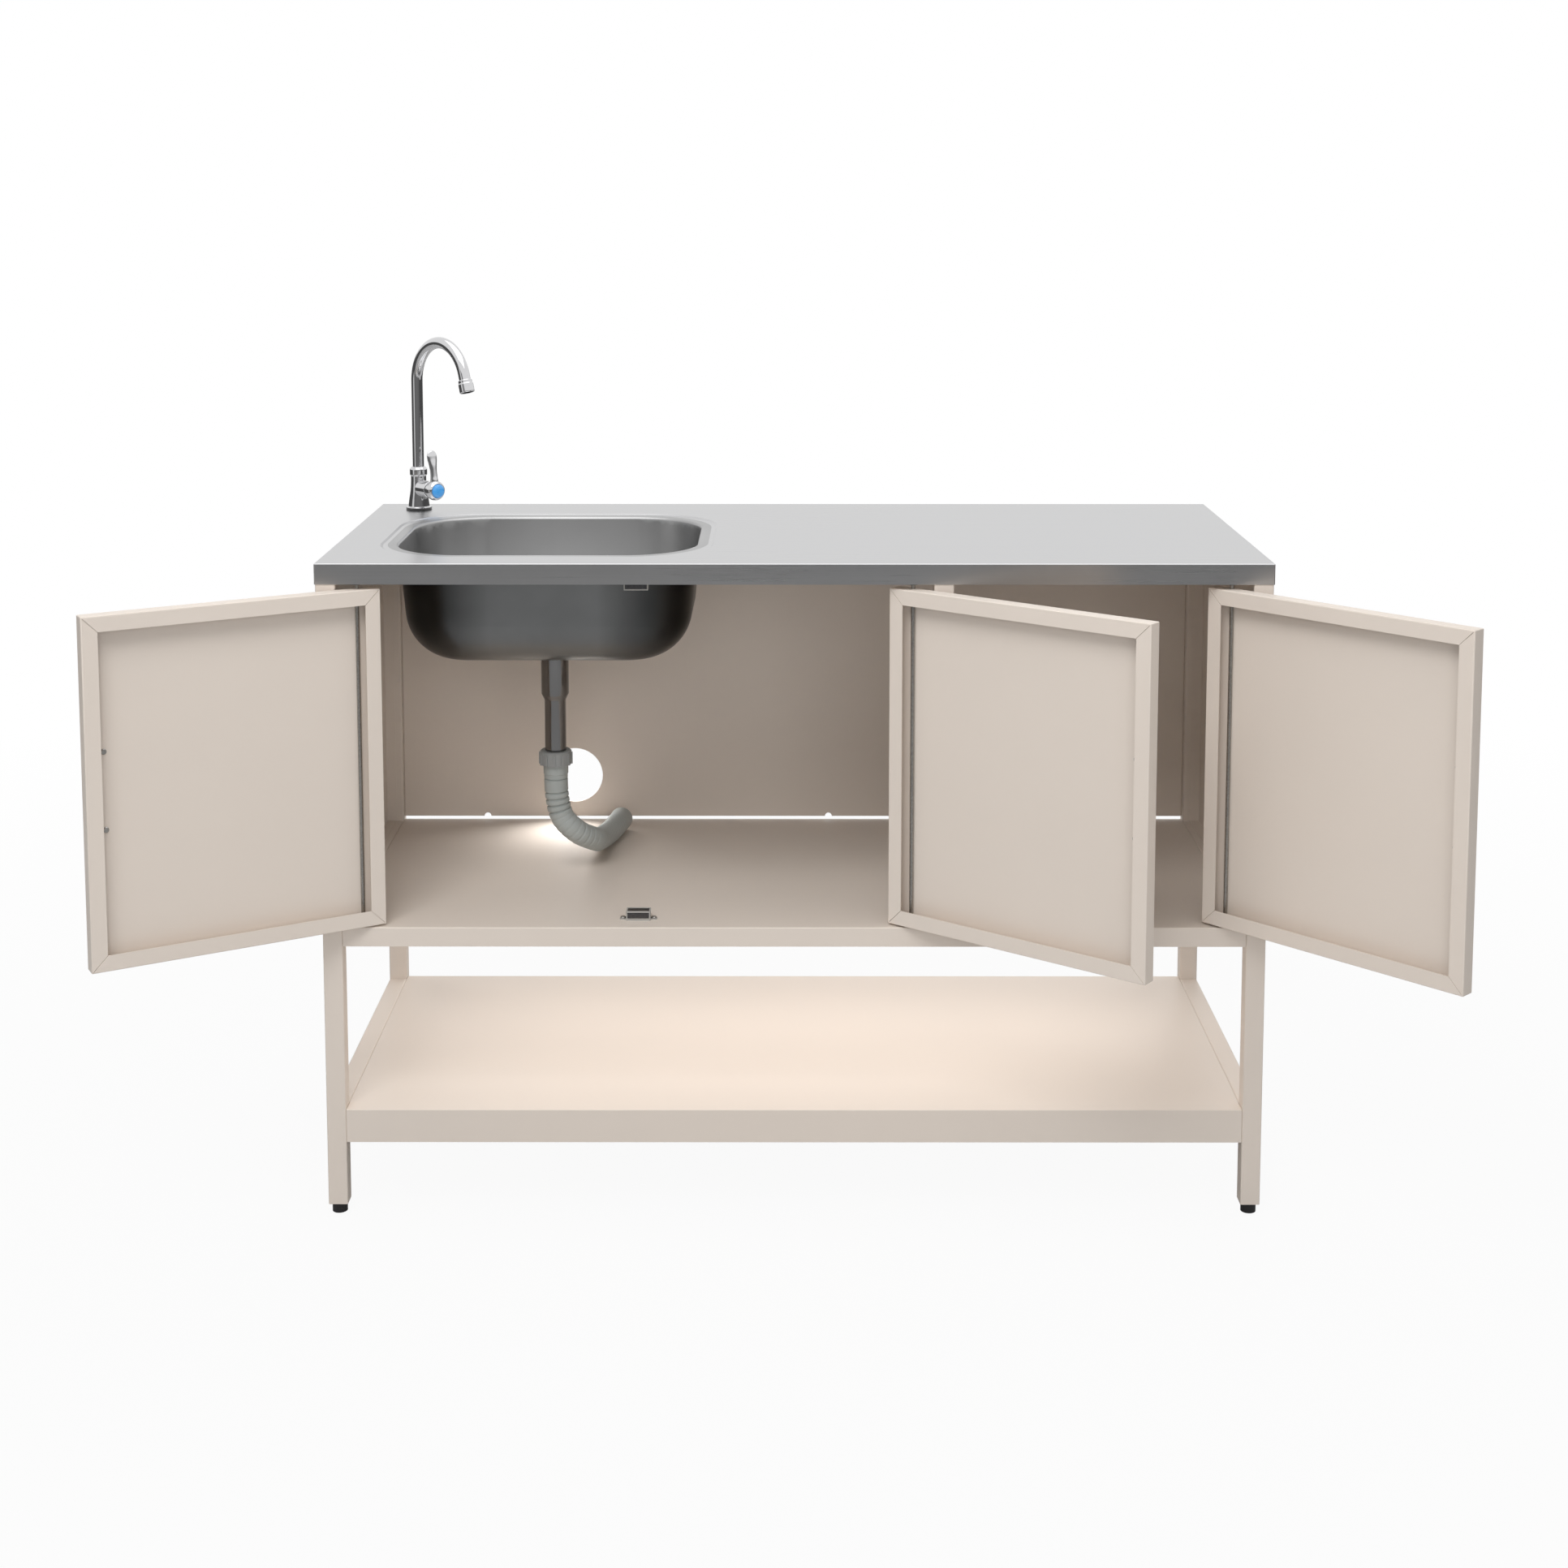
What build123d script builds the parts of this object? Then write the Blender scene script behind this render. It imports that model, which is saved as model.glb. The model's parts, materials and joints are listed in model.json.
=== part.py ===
from build123d import *
import os
from math import cos, pi, radians, sin, tan

# A free-standing kitchen sink unit: a square-tube frame with a shelf and a cabinet, three
# pivot-hung doors, a pressed steel worktop with a bowl, a swan-neck tap and a drain hose.
# X runs to the right, Y to the back and Z up, in millimetres. The origin is on the floor at
# the centre of the footprint. The doors stand open, as the unit is at rest.

# ---- Frame -------------------------------------------------------------------------------
unit_width = 1200.0        # outside of the legs
unit_depth = 500.0
unit_height = 850.0        # top face of the worktop
tube = 25.0                # square tube, outside
tube_wall = 1.2
tube_radius = 2.0
sheet = 1.0                # steel sheet of every folded panel
bend_radius = 1.5          # outside radius of a fold
fit_gap = 0.1              # round pieces of one body in their holes
foot_height = 13.0
foot_radius = 9.75
foot_plug = 15.0           # how far a foot's plug goes up its leg
cabinet_height = 469.0     # cabinet's floor to the top of the worktop

# ---- Panels ------------------------------------------------------------------------------
floor_flange = 25.0
shelf_top = 140.0          # top face of the lower shelf
shelf_flange = 43.5
panel_depth = 488.0        # floor and shelf, from the front of the legs
panel_lip = 10.0
side_flange = 15.0
side_setback = 0.5
back_setback = 12.0        # back panel, in from the rear face of the legs
back_gap = 4.0             # light gap between back panel and floor
back_flange = 11.0
pipe_hole_radius = 40.5
pipe_hole_from_left = 278.0
pipe_hole_height = 66.0    # above the cabinet's floor
notch_radius = 5.0
notch_from_bowl = (-128.0, 376.0)

# ---- Worktop and bowl --------------------------------------------------------------------
worktop_flange = 26.5
recess_depth = 1.5         # the sheet is pressed down round the bowl
recess_margin = 22.0
recess_radius = 106.0
bowl_from_left = 276.0     # left side of the legs to the middle of the bowl
bowl_y = -22.0
bowl_width = 394.0         # opening, left to right
bowl_length = 312.0        # opening, front to back
bowl_corner = 94.0
bowl_depth = 152.0
bowl_draft_angle = 5.5     # degrees that the walls lean in
bowl_floor_radius = 66.0
rim_radius = 2.5
rim_flange = 14.0
stiffener_width = 40.0
stiffener_height = 20.0
stiffeners = 3             # spread evenly between the bowl and the right leg

# ---- Doors -------------------------------------------------------------------------------
door_thickness = 20.0
door_lip = 19.6
door_tail = 25.0           # from the pivot to the hinged edge
door_side_gap = 0.9        # hinged edge to leg or post
door_post_gap = 4.1        # right door's free edge to the post
door_meeting_gap = 8.2     # between the free edges of the left and middle doors
door_floor_gap = 2.5
door_head_gap = 7.0
mitre_gap = 0.5
pivot_setback = 8.5        # pivot axis behind the front of the legs
skin_to_pivot = 4.0        # outer skin in front of the pivot axis
rod_radius = 2.5
rod_reach = 7.5            # rod beyond the floor and into the head rail
rod_block = 7.0
bush_radius = 5.0
bush_flange_radius = 7.0
bush_flange = 1.5
bush_depth = 10.0
running_gap = 0.05
left_open_angle = 150.0    # degrees from closed
middle_open_angle = 142.5
right_open_angle = 134.0
fold_easing = 0.3          # doors' folds are this much sharper than the panels'

# ---- Door handles and catches ------------------------------------------------------------
handle_spacing = 96.0
handle_from_edge = 26.5
handle_radius = 4.5
handle_height = 24.0
handle_bend = 9.0
screw_radius = 2.0
screw_head_radius = 3.6
screw_head = 2.0
screw_crown = 0.8          # height of a screw head's sloping rim
screw_bite = 8.0
catch_gap = 1.0            # plate to closed door
catch_depth = 17.0
catch_height = 12.0
double_catch_width = 31.0  # housing that serves two doors
single_catch_width = 17.0
catch_wall = 1.6
catch_corner = 1.0
catch_ear = 8.5
catch_ear_width = 8.0
catch_base = 1.2
plate_thickness = 3.0
plate_proud = 0.8
plate_gap = 0.4            # between the steel plate and its window
bracket_height = 15.0

# ---- Drain -------------------------------------------------------------------------------
waste_flange_radius = 31.0
waste_flange = 2.0
waste_radius = 17.2
waste_wall = 1.7
waste_length = 38.0
waste_bar = 3.0
gasket_radius = 30.0
gasket_thickness = 4.0
locknut_radius = 27.0
locknut_height = 8.0
tail_upper_radius = 18.7
tail_lower_radius = 14.5
tail_wall = 1.2
tail_upper_length = 52.5   # below the locknut, down to where the tube narrows
tail_cone = 9.0
nut_over_socket = 38.0     # top of the nut above the bottom of the socket
nut_cover = 3.0            # nut above the top of the socket
nut_height = 19.0
nut_bevel = 1.5
nut_radius = 22.8
nut_ribs = 12
socket_radius = 16.0
socket_thread_radius = 19.0
socket_height = 134.0      # its bottom above the cabinet's floor
socket_bore = 13.0
socket_bead = 0.8
socket_bead_length = 12.0
tail_insert = 30.0         # tailpiece below the top of the socket
hose_radius = 16.0
hose_groove = 1.2
hose_bore = 13.0
hose_plain = 8.0           # smooth length before the first rib
rib_pitch = 9.0
cuff_length = 30.0
lying_gap = 0.3
hose_lying = hose_radius + lying_gap
# Corners of the hose's run: X from the middle of the bowl, Y, and height over the cabinet's floor.
hose_corners = [
    (0.0, bowl_y, socket_height),
    (0.0, bowl_y, 86.0),
    (26.0, -22.0, 57.0),
    (52.0, 8.0, 37.0),
    (51.0, 54.0, 24.0),
    (58.0, 99.0, hose_lying),
    (68.0, 142.0, hose_lying),
    (74.0, 184.0, hose_lying),
]

# ---- Tap ---------------------------------------------------------------------------------
tap_from_left = 60.0
tap_y = 200.0
tap_turn_angle = -46.0     # degrees from +X: the spout and the valve point at the bowl
tap_base_radius = 18.5
tap_base = 3.5
tap_foot_radius = 15.0
tap_neck_radius = 10.8
tap_body_height = 49.0
socket_depth = 12.5
spout_foot_radius = 9.9
spout_fit = 0.08
spout_nut_height = 13.0
spout_nut_radius = 12.1
spout_nut_lip = 6.0
spout_radius = 8.0
spout_wall = 1.2
spout_rise = 186.0         # worktop to the centre of the arch
spout_arch = 58.0
spout_turn_angle = 163.0
spout_end = 8.0
aerator_radius = 10.4
aerator_length = 18.5
aerator_neck_radius = 9.6
aerator_neck = 5.0
aerator_mouth_radius = 8.6
aerator_step = 1.0
valve_height = 31.0
valve_radius = 11.0
valve_reach = 30.0
valve_collar = 0.8
valve_collar_length = 4.0
spindle_radius = 4.0
spindle_start = 13.0
body_gap = 0.5             # between pieces that turn past each other
hub_length = 17.0
hub_back_radius = 12.0
hub_front_radius = 14.0
hub_bevel = 2.5
cap_radius = 9.8
cap_depth = 2.0
cap_dome = 3.0
lever_height = 57.0
stem_radius = 12.0         # the part of the shank that the nut clamps
stem_length = 22.0
inlet_radius = 10.4
shank_bore = 6.0
shank_length = 55.0
washer_radius = 17.0
washer_thickness = 2.5
fixing_nut_radius = 18.0
fixing_nut_height = 8.0

# ---- Places worked out from the above ----------------------------------------------------
half_width = unit_width / 2
half_depth = unit_depth / 2
inner_x = half_width - tube
inner_y = half_depth - tube
rail_top = unit_height - sheet
rail_bottom = rail_top - tube
floor_top = unit_height - cabinet_height
gaps = 3 * door_side_gap + door_meeting_gap + door_post_gap
door_width = (unit_width - 3 * tube - gaps) / 3
door_reach = door_width - door_tail      # from the pivot to the free edge
pivot_y = -half_depth + pivot_setback
door_bottom = floor_top + door_floor_gap
door_height = rail_bottom - door_head_gap - door_bottom
door_inner_face = pivot_y - skin_to_pivot + door_thickness
left_pivot = -inner_x + door_side_gap + door_tail
right_pivot = inner_x - door_side_gap - door_tail
post_x = right_pivot - door_reach - door_post_gap - tube / 2
middle_pivot = post_x - tube / 2 - door_side_gap - door_tail
bowl_x = -half_width + bowl_from_left
tap_x = -half_width + tap_from_left
pipe_hole_x = -half_width + pipe_hole_from_left
pipe_hole_z = floor_top + pipe_hole_height
recess_top = unit_height - recess_depth
bowl_bottom = recess_top - bowl_depth
bowl_floor = bowl_bottom + sheet
locknut_bottom = bowl_bottom - gasket_thickness - locknut_height
tail_upper_end = locknut_bottom - tail_upper_length
socket_bottom = floor_top + socket_height
nut_top = socket_bottom + nut_over_socket
socket_top = nut_top - nut_cover
hose_route = [(bowl_x + x, y, floor_top + height) for x, y, height in hose_corners]

# Each door: its pivot, the side its free edge lies on when shut, and how far it stands open.
doors = {
    "left": (left_pivot, 1, left_open_angle),
    "middle": (middle_pivot, -1, middle_open_angle),
    "right": (right_pivot, -1, right_open_angle),
}


double_catch_x = (left_pivot + middle_pivot) / 2
single_catch_x = right_pivot - door_reach + single_catch_width

# ---- Helpers -----------------------------------------------------------------------------
def block(low, high):
    """A block between two opposite corners, given in any order."""
    size = [abs(high[i] - low[i]) for i in range(3)]
    centre = [(high[i] + low[i]) / 2 for i in range(3)]
    return Pos(*centre) * Box(*size)


def cylinder_up(radius, low, high, x=0.0, y=0.0):
    """An upright cylinder from height low to height high."""
    return Pos(x, y, (low + high) / 2) * Cylinder(radius, high - low)


def turned(points):
    """A solid turned about Z from an outline of (radius, height) points."""
    outline = Polyline([(r, 0, z) for r, z in points], close=True)
    return revolve(make_face(outline), Axis.Z)


def square_tube(start, direction, length):
    """Hollow square tube from the centre of one end."""
    bore = tube - 2 * tube_wall
    section = RectangleRounded(tube, tube, tube_radius)
    section -= RectangleRounded(bore, bore, tube_radius - tube_wall)
    return extrude(Plane(origin=start, z_dir=direction) * section, length)


def rounded_plate(width, length, radius, low, high):
    """Rounded rectangle about the bowl's centre, from height low to height high."""
    outline = Pos(bowl_x, bowl_y, low) * RectangleRounded(width, length, radius)
    return extrude(outline, high - low)


def folded_tray(low, high, lip):
    """Sheet tray that is open below, with folded-down sides and lips turned in at the bottom."""
    tray = block(low, high)
    upright = tray.edges().filter_by(Axis.Z)
    tray = fillet(tray.edges().group_by(Axis.Z)[-1] + upright, bend_radius)
    inset = [sheet, sheet, sheet]
    tray -= block([low[i] + inset[i] for i in range(3)], [high[i] - inset[i] for i in range(3)])
    edge = sheet + lip
    mouth_low = (low[0] + edge, low[1] + edge, low[2] - sheet)
    return tray - block(mouth_low, (high[0] - edge, high[1] - edge, low[2] + 2 * sheet))


# ---- Frame -------------------------------------------------------------------------------
def leg(side, end):
    """Corner leg: side is -1 for left, end is -1 for front."""
    start = (side * (half_width - tube / 2), end * (half_depth - tube / 2), foot_height)
    return square_tube(start, (0, 0, 1), rail_top - foot_height)


def foot(side, end):
    """Plastic glide with a square plug that fills the leg's end."""
    x, y = side * (half_width - tube / 2), end * (half_depth - tube / 2)
    bore = tube - 2 * tube_wall
    plug = extrude(Pos(x, y, foot_height) * RectangleRounded(bore, bore, tube_radius - tube_wall), foot_plug)
    pad = cylinder_up(foot_radius, 0, foot_height, x, y)
    return pad + plug


def cross_rail(y, top):
    """Rail between the left and right legs."""
    return square_tube((-inner_x, y, top - tube / 2), (1, 0, 0), 2 * inner_x)


def side_rail(side, top):
    """Rail between the front and rear legs of one side."""
    start = (side * (half_width - tube / 2), -inner_y, top - tube / 2)
    return square_tube(start, (0, 1, 0), 2 * inner_y)


def front_rail():
    """Head rail over the doors, bored for the pivot bushes."""
    rail = cross_rail(-half_depth + tube / 2, rail_top)
    for pivot, _, _ in doors.values():
        rail -= cylinder_up(bush_radius + fit_gap, rail_bottom - sheet, rail_bottom + 2 * tube_wall, pivot, pivot_y)
    return rail


def centre_post():
    """Post between the bays, from the cabinet's floor to the head rail."""
    start = (post_x, -half_depth + tube / 2, floor_top)
    return square_tube(start, (0, 0, 1), rail_bottom - floor_top)


# ---- Panels ------------------------------------------------------------------------------
def shelf_tray(top, flange):
    """Tray that lies between the side rails, its front flush with the legs."""
    low = (-inner_x, -half_depth, top - flange)
    return folded_tray(low, (inner_x, -half_depth + panel_depth, top), panel_lip)


def cabinet_floor():
    """Floor tray, bored for the lower bushes and the catch screws."""
    floor = shelf_tray(floor_top, floor_flange)
    for pivot, _, _ in doors.values():
        floor -= cylinder_up(bush_radius + fit_gap, floor_top - 2 * sheet, floor_top + sheet, pivot, pivot_y)
    for x in catch_screw_places():
        floor -= cylinder_up(screw_radius + fit_gap, floor_top - 2 * sheet, floor_top + sheet, x, catch_screw_y)
    return floor


def side_panel(side):
    """Skin flush with the outside of the legs, flanged inwards on all four edges."""
    outer = half_width - side_setback
    low = (side * outer, -inner_y, floor_top)
    high = (side * (outer - side_flange), inner_y, rail_bottom)
    panel = block(low, high)
    skin_edges = panel.edges().sort_by(lambda e: side * e.center().X)[-4:]
    panel = fillet(skin_edges, bend_radius)
    inner_low = (side * (outer - sheet), -inner_y + sheet, floor_top + sheet)
    inner_high = (side * (outer - side_flange - sheet), inner_y - sheet, rail_bottom - sheet)
    return panel - block(inner_low, inner_high)


def back_panel():
    """Skin between the rear legs, flanged backwards, with the pipe hole and two notches."""
    face = half_depth - back_setback
    low_z = floor_top + back_gap
    panel = block((-inner_x, face, low_z), (inner_x, face + back_flange, rail_bottom))
    panel = fillet(panel.faces().sort_by(Axis.Y)[0].edges().sort_by(Axis.Z)[1:], bend_radius)
    pocket_low = (-inner_x + sheet, face + sheet, low_z - sheet)
    panel -= block(pocket_low, (inner_x - sheet, face + back_flange + sheet, rail_bottom - sheet))
    hole = Pos(pipe_hole_x, face, pipe_hole_z) * Rot(90, 0, 0) * Cylinder(pipe_hole_radius, 4 * sheet)
    panel -= hole
    for reach in notch_from_bowl:
        panel -= Pos(bowl_x + reach, face, low_z) * Rot(90, 0, 0) * Cylinder(notch_radius, 4 * sheet)
    return panel


# ---- Worktop and bowl --------------------------------------------------------------------
def worktop():
    """Steel top folded down over the frame, pressed down round the bowl's opening."""
    reach = sheet
    low = (-half_width - reach, -half_depth - reach, unit_height - worktop_flange)
    top = block(low, (half_width + reach, half_depth + reach, unit_height))
    top = fillet(top.edges().group_by(Axis.Z)[-1] + top.edges().filter_by(Axis.Z), bend_radius)
    under = unit_height - sheet
    top -= block((-half_width, -half_depth, low[2] - sheet), (half_width, half_depth, under))
    width, length = bowl_width + 2 * recess_margin, bowl_length + 2 * recess_margin
    top += recess(width + 2 * sheet, length + 2 * sheet, under)
    top -= recess(width, length, unit_height)
    cut_width, cut_length = bowl_width + 2 * rim_flange, bowl_length + 2 * rim_flange
    top -= rounded_plate(cut_width, cut_length, bowl_corner + rim_flange, recess_top - 4 * sheet, unit_height)
    return top - cylinder_up(stem_radius + body_gap, under - sheet, unit_height + sheet, tap_x, tap_y)


def recess(width, length, top):
    """The pressed-down area with sloping sides, from height top down by the recess's depth."""
    slope = 2 * recess_depth
    outer = Pos(bowl_x, bowl_y, top) * RectangleRounded(width, length, recess_radius)
    inner = Pos(bowl_x, bowl_y, top - recess_depth) * RectangleRounded(
        width - 2 * slope, length - 2 * slope, recess_radius - slope)
    return loft([outer.face(), inner.face()], ruled=True)


def bowl_form(inset):
    """The bowl's outside form, or its inside where inset is the sheet's thickness."""
    grow = 2 * (sheet - inset)
    outline = Pos(bowl_x, bowl_y, recess_top) * RectangleRounded(
        bowl_width + grow, bowl_length + grow, bowl_corner + grow / 2)
    form = extrude(outline, -(bowl_depth - inset), taper=bowl_draft_angle)
    return fillet(form.edges().group_by(Axis.Z)[0], bowl_floor_radius - inset)


def rim_edges(shape, z):
    """Edges of the bowl's opening at a height; the blank's straight outer edges are left out."""
    level = shape.edges().filter_by_position(Axis.Z, z - 0.01, z + 0.01)
    return [e for e in level if abs(e.center().X - bowl_x) < bowl_width / 2 + rim_flange
            and abs(e.center().Y - bowl_y) < bowl_length / 2 + rim_flange]


def sink_bowl():
    """Deep-drawn bowl with a flat rim that is let into the worktop."""
    x_reach, y_reach = bowl_width / 2 + 2 * rim_flange, bowl_length / 2 + 2 * rim_flange
    bowl = block((bowl_x - x_reach, bowl_y - y_reach, recess_top - sheet),
                 (bowl_x + x_reach, bowl_y + y_reach, recess_top))
    bowl += bowl_form(0.0)
    bowl = fillet(rim_edges(bowl, recess_top - sheet), rim_radius)
    bowl -= bowl_form(sheet)
    bowl = fillet(rim_edges(bowl, recess_top), rim_radius + sheet)
    width, length = bowl_width + 2 * rim_flange, bowl_length + 2 * rim_flange
    bowl &= rounded_plate(width, length, bowl_corner + rim_flange, bowl_bottom - sheet, recess_top + sheet)
    return bowl - cylinder_up(waste_radius + body_gap, bowl_bottom - sheet, bowl_floor + sheet, bowl_x, bowl_y)


def stiffener_places():
    """X of each stiffener."""
    start = bowl_x + bowl_width / 2 + recess_margin
    pitch = (inner_x - start) / (stiffeners + 1)
    return [start + pitch * (i + 1) for i in range(stiffeners)]


def stiffener(x):
    """Hat section under the worktop, between the head rails."""
    low = (x - stiffener_width / 2, -inner_y, rail_top - stiffener_height)
    hat = block(low, (x + stiffener_width / 2, inner_y, rail_top))
    inner_low = (low[0] + sheet, -half_depth, low[2] + sheet)
    return hat - block(inner_low, (x + stiffener_width / 2 - sheet, half_depth, unit_height))


# ---- Doors: each piece is made shut, with the pivot axis on Z, then turned open -----------
def door_place(name):
    """Where a door's pivot stands and how far it is turned."""
    pivot, hand, opening = doors[name]
    return Pos(pivot, pivot_y, door_bottom) * Rot(0, 0, -hand * opening)


def door_shell(hand):
    """Folded tray: skin outside, mitred lips inside, bored for the rod and the handle."""
    swing = door_reach
    skin, inner = -skin_to_pivot, door_thickness - skin_to_pivot
    low, high = (-hand * door_tail, skin, 0), (hand * swing, inner, door_height)
    shell = block(low, high)
    shell = fillet(shell.edges(), bend_radius - fold_easing)
    shell -= block((-hand * (door_tail - sheet), skin + sheet, sheet),
                   (hand * (swing - sheet), inner - sheet, door_height - sheet))
    shell -= block((-hand * (door_tail - door_lip), inner - 2 * sheet, door_lip),
                   (hand * (swing - door_lip), inner + sheet, door_height - door_lip))
    for slit in mitre_slits(hand, inner):
        shell -= slit
    shell -= cylinder_up(rod_radius + fit_gap, -sheet, door_height + sheet)
    for z in handle_heights():
        hole = Rot(90, 0, 0) * Cylinder(screw_radius + fit_gap, 4 * sheet)
        shell -= Pos(hand * (swing - handle_from_edge), skin, z) * hole
    return shell


def mitre_slits(hand, inner):
    """The open seam across each corner of the door's lips, from near the fold into the window."""
    start, end = 2 * sheet, door_lip + sheet
    middle = (start + end) / 2
    slit = Box((end - start) * 2 ** 0.5, 2 * sheet, mitre_gap)
    x_low, x_high = -door_tail + middle, door_reach - middle
    for x, z, lean in ((x_low, middle, -1), (x_low, door_height - middle, 1),
                       (x_high, middle, 1), (x_high, door_height - middle, -1)):
        yield Pos(hand * x, inner - sheet / 2, z) * Rot(0, hand * lean * 45, 0) * slit


def handle_heights():
    """Heights of the two handle screws above the door's bottom edge."""
    middle = door_height / 2
    return middle - handle_spacing / 2, middle + handle_spacing / 2


def pivot_rod():
    """Rod through the door, with the block that carries the door on its lower lip."""
    low = floor_top - rod_reach - door_bottom
    high = rail_bottom + rod_reach - door_bottom
    rod = cylinder_up(rod_radius, low, high)
    clear = skin_to_pivot - sheet - fit_gap
    return rod + block((-2 * rod_radius, -clear, sheet), (2 * rod_radius, 2 * clear, sheet + rod_block))


def door_handle(hand):
    """Bow handle on the outer skin, bored for its screws."""
    x = hand * (door_reach - handle_from_edge)
    skin = -skin_to_pivot
    out = skin - handle_height + handle_radius
    low, high = handle_heights()
    points = [(x, skin, low), (x, out, low), (x, out, high), (x, skin, high)]
    path = FilletPolyline(*points, radius=handle_bend)
    handle = sweep(Plane(origin=points[0], z_dir=(0, -1, 0)) * Circle(handle_radius), path=path)
    for z in handle_heights():
        handle -= Pos(x, skin, z) * Rot(90, 0, 0) * Cylinder(screw_radius + fit_gap, 2 * (screw_bite + fit_gap))
    return handle


def screw(low, seat):
    """Upright screw from height low, its head on a seat."""
    head, crown = seat + screw_head, seat + screw_head - screw_crown
    edge = screw_head_radius
    return turned([(0, low), (screw_radius, low), (screw_radius, seat), (edge, seat), (edge, crown),
                   (edge - screw_crown, head), (0, head)])


def door_screws(hand):
    """The handle's two screws, their heads on the inside of the skin."""
    x = hand * (door_reach - handle_from_edge)
    turn = Rot(-90, 0, 0) * screw(-sheet - screw_bite, 0)
    return [Pos(x, sheet - skin_to_pivot, z) * turn for z in handle_heights()]


def floor_bush(pivot):
    """Closed bush that a door's rod stands in."""
    bush = cylinder_up(bush_flange_radius, floor_top, floor_top + bush_flange, pivot, pivot_y)
    bush += cylinder_up(bush_radius, floor_top - bush_depth, floor_top + bush_flange, pivot, pivot_y)
    bore = rod_radius + running_gap
    return bush - cylinder_up(bore, floor_top - rod_reach - lying_gap, floor_top + 2 * bush_flange, pivot, pivot_y)


def head_bush(pivot):
    """Bush in the head rail for the top of a door's rod."""
    bush = cylinder_up(bush_flange_radius, rail_bottom - bush_flange, rail_bottom, pivot, pivot_y)
    bush += cylinder_up(bush_radius, rail_bottom - bush_flange, rail_bottom + bush_depth, pivot, pivot_y)
    bore = rod_radius + running_gap
    return bush - cylinder_up(bore, rail_bottom - 2 * bush_flange, rail_bottom + bush_depth + 1, pivot, pivot_y)


# ---- Magnetic catches: made standing on Z = 0 with the plates facing -Y -------------------
catch_front = door_inner_face + catch_gap + plate_proud    # front of the housing
catch_screw_y = catch_front + catch_depth / 2


def ear_reach(width):
    """From the middle of a catch to the screw in its ear."""
    return (width + catch_ear) / 2


def catch_screw_places():
    """X of every catch screw in the cabinet's floor."""
    return [x + side * ear_reach(width) for x, width in
            ((double_catch_x, double_catch_width), (single_catch_x, single_catch_width)) for side in (-1, 1)]


def catch_housing(width):
    """Housing with a window in front, a pocket that is open above and an ear on each side."""
    half, wall = width / 2, catch_wall
    housing = block((-half, 0, 0), (half, catch_depth, catch_height))
    housing = fillet(housing.edges().filter_by(Axis.Z), catch_corner)
    housing -= block((wall - half, plate_thickness, wall), (half - wall, catch_depth - wall, catch_height + 1))
    housing -= block((wall - half, -1, 2 * wall), (half - wall, plate_thickness, catch_height - wall))
    reach, side_y = half + catch_ear, catch_ear_width / 2
    ears = block((-reach, catch_depth / 2 - side_y, 0), (reach, catch_depth / 2 + side_y, catch_base))
    ears = fillet(ears.edges().filter_by(Axis.Z), 2 * catch_corner)
    for side in (-1, 1):
        x = side * ear_reach(width)
        ears -= cylinder_up(screw_radius + fit_gap, -1, catch_base + 1, x, catch_depth / 2)
    return housing + ears


def catch_magnet(width):
    """Steel plate in the window and the magnet behind it."""
    half, wall = width / 2, catch_wall
    inset = half - wall - plate_gap
    plate = block((-inset, -plate_proud, 2 * wall + plate_gap),
                  (inset, plate_thickness, catch_height - wall - plate_gap))
    magnet = block((wall - half, plate_thickness, wall), (half - wall, catch_depth - wall, catch_height - plate_gap))
    return [plate, magnet]


def catch_places():
    """Place and width of each catch: two on the floor, the double one's twin hung from the bracket."""
    yield Pos(double_catch_x, catch_front, floor_top), double_catch_width
    yield Pos(double_catch_x, catch_front, rail_bottom - sheet) * Rot(0, 180, 0), double_catch_width
    yield Pos(single_catch_x, catch_front, floor_top), single_catch_width


def catch_bracket():
    """Angle behind the head rail that the upper catch hangs from."""
    half = double_catch_width / 2 + catch_ear
    low, back = rail_bottom - sheet, catch_front + catch_depth
    left, right = double_catch_x - half, double_catch_x + half
    leaf = block((left, -inner_y, low), (right, back, rail_bottom))
    leaf += block((left, -inner_y, low), (right, -inner_y + sheet, rail_bottom + bracket_height))
    for side in (-1, 1):
        x = double_catch_x + side * ear_reach(double_catch_width)
        leaf -= cylinder_up(screw_radius + fit_gap, low - sheet, rail_bottom + sheet, x, catch_screw_y)
    return leaf


# ---- Drain: turned pieces on the bowl's axis ----------------------------------------------
def on_drain(shape):
    """Moves a piece that is made about Z to the drain."""
    return Pos(bowl_x, bowl_y, 0) * shape


def waste_body():
    """Flanged outlet with a cross of bars, its barrel through the bowl's floor."""
    low = bowl_floor - waste_length
    inner = waste_radius - waste_wall
    top = bowl_floor + waste_flange
    rim = waste_flange_radius
    waste = turned([(inner, low), (waste_radius, low), (waste_radius, bowl_floor), (rim, bowl_floor),
                    (rim - 1.5, top), (waste_radius + 2, top), (inner, bowl_floor - 1)])
    for angle in (0, 90):
        bar = Rot(0, 0, angle) * Box(2 * inner + 1.0, waste_bar, waste_bar)
        waste += Pos(0, 0, bowl_floor - 1 - waste_bar / 2) * bar
    return on_drain(waste)


def ring(outer, inner, low, high):
    """Plain ring between two heights."""
    return turned([(inner, low), (outer, low), (outer, high), (inner, high)])


def waste_gasket():
    """Rubber ring under the bowl."""
    return on_drain(ring(gasket_radius, waste_radius + fit_gap, bowl_bottom - gasket_thickness, bowl_bottom))


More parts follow.
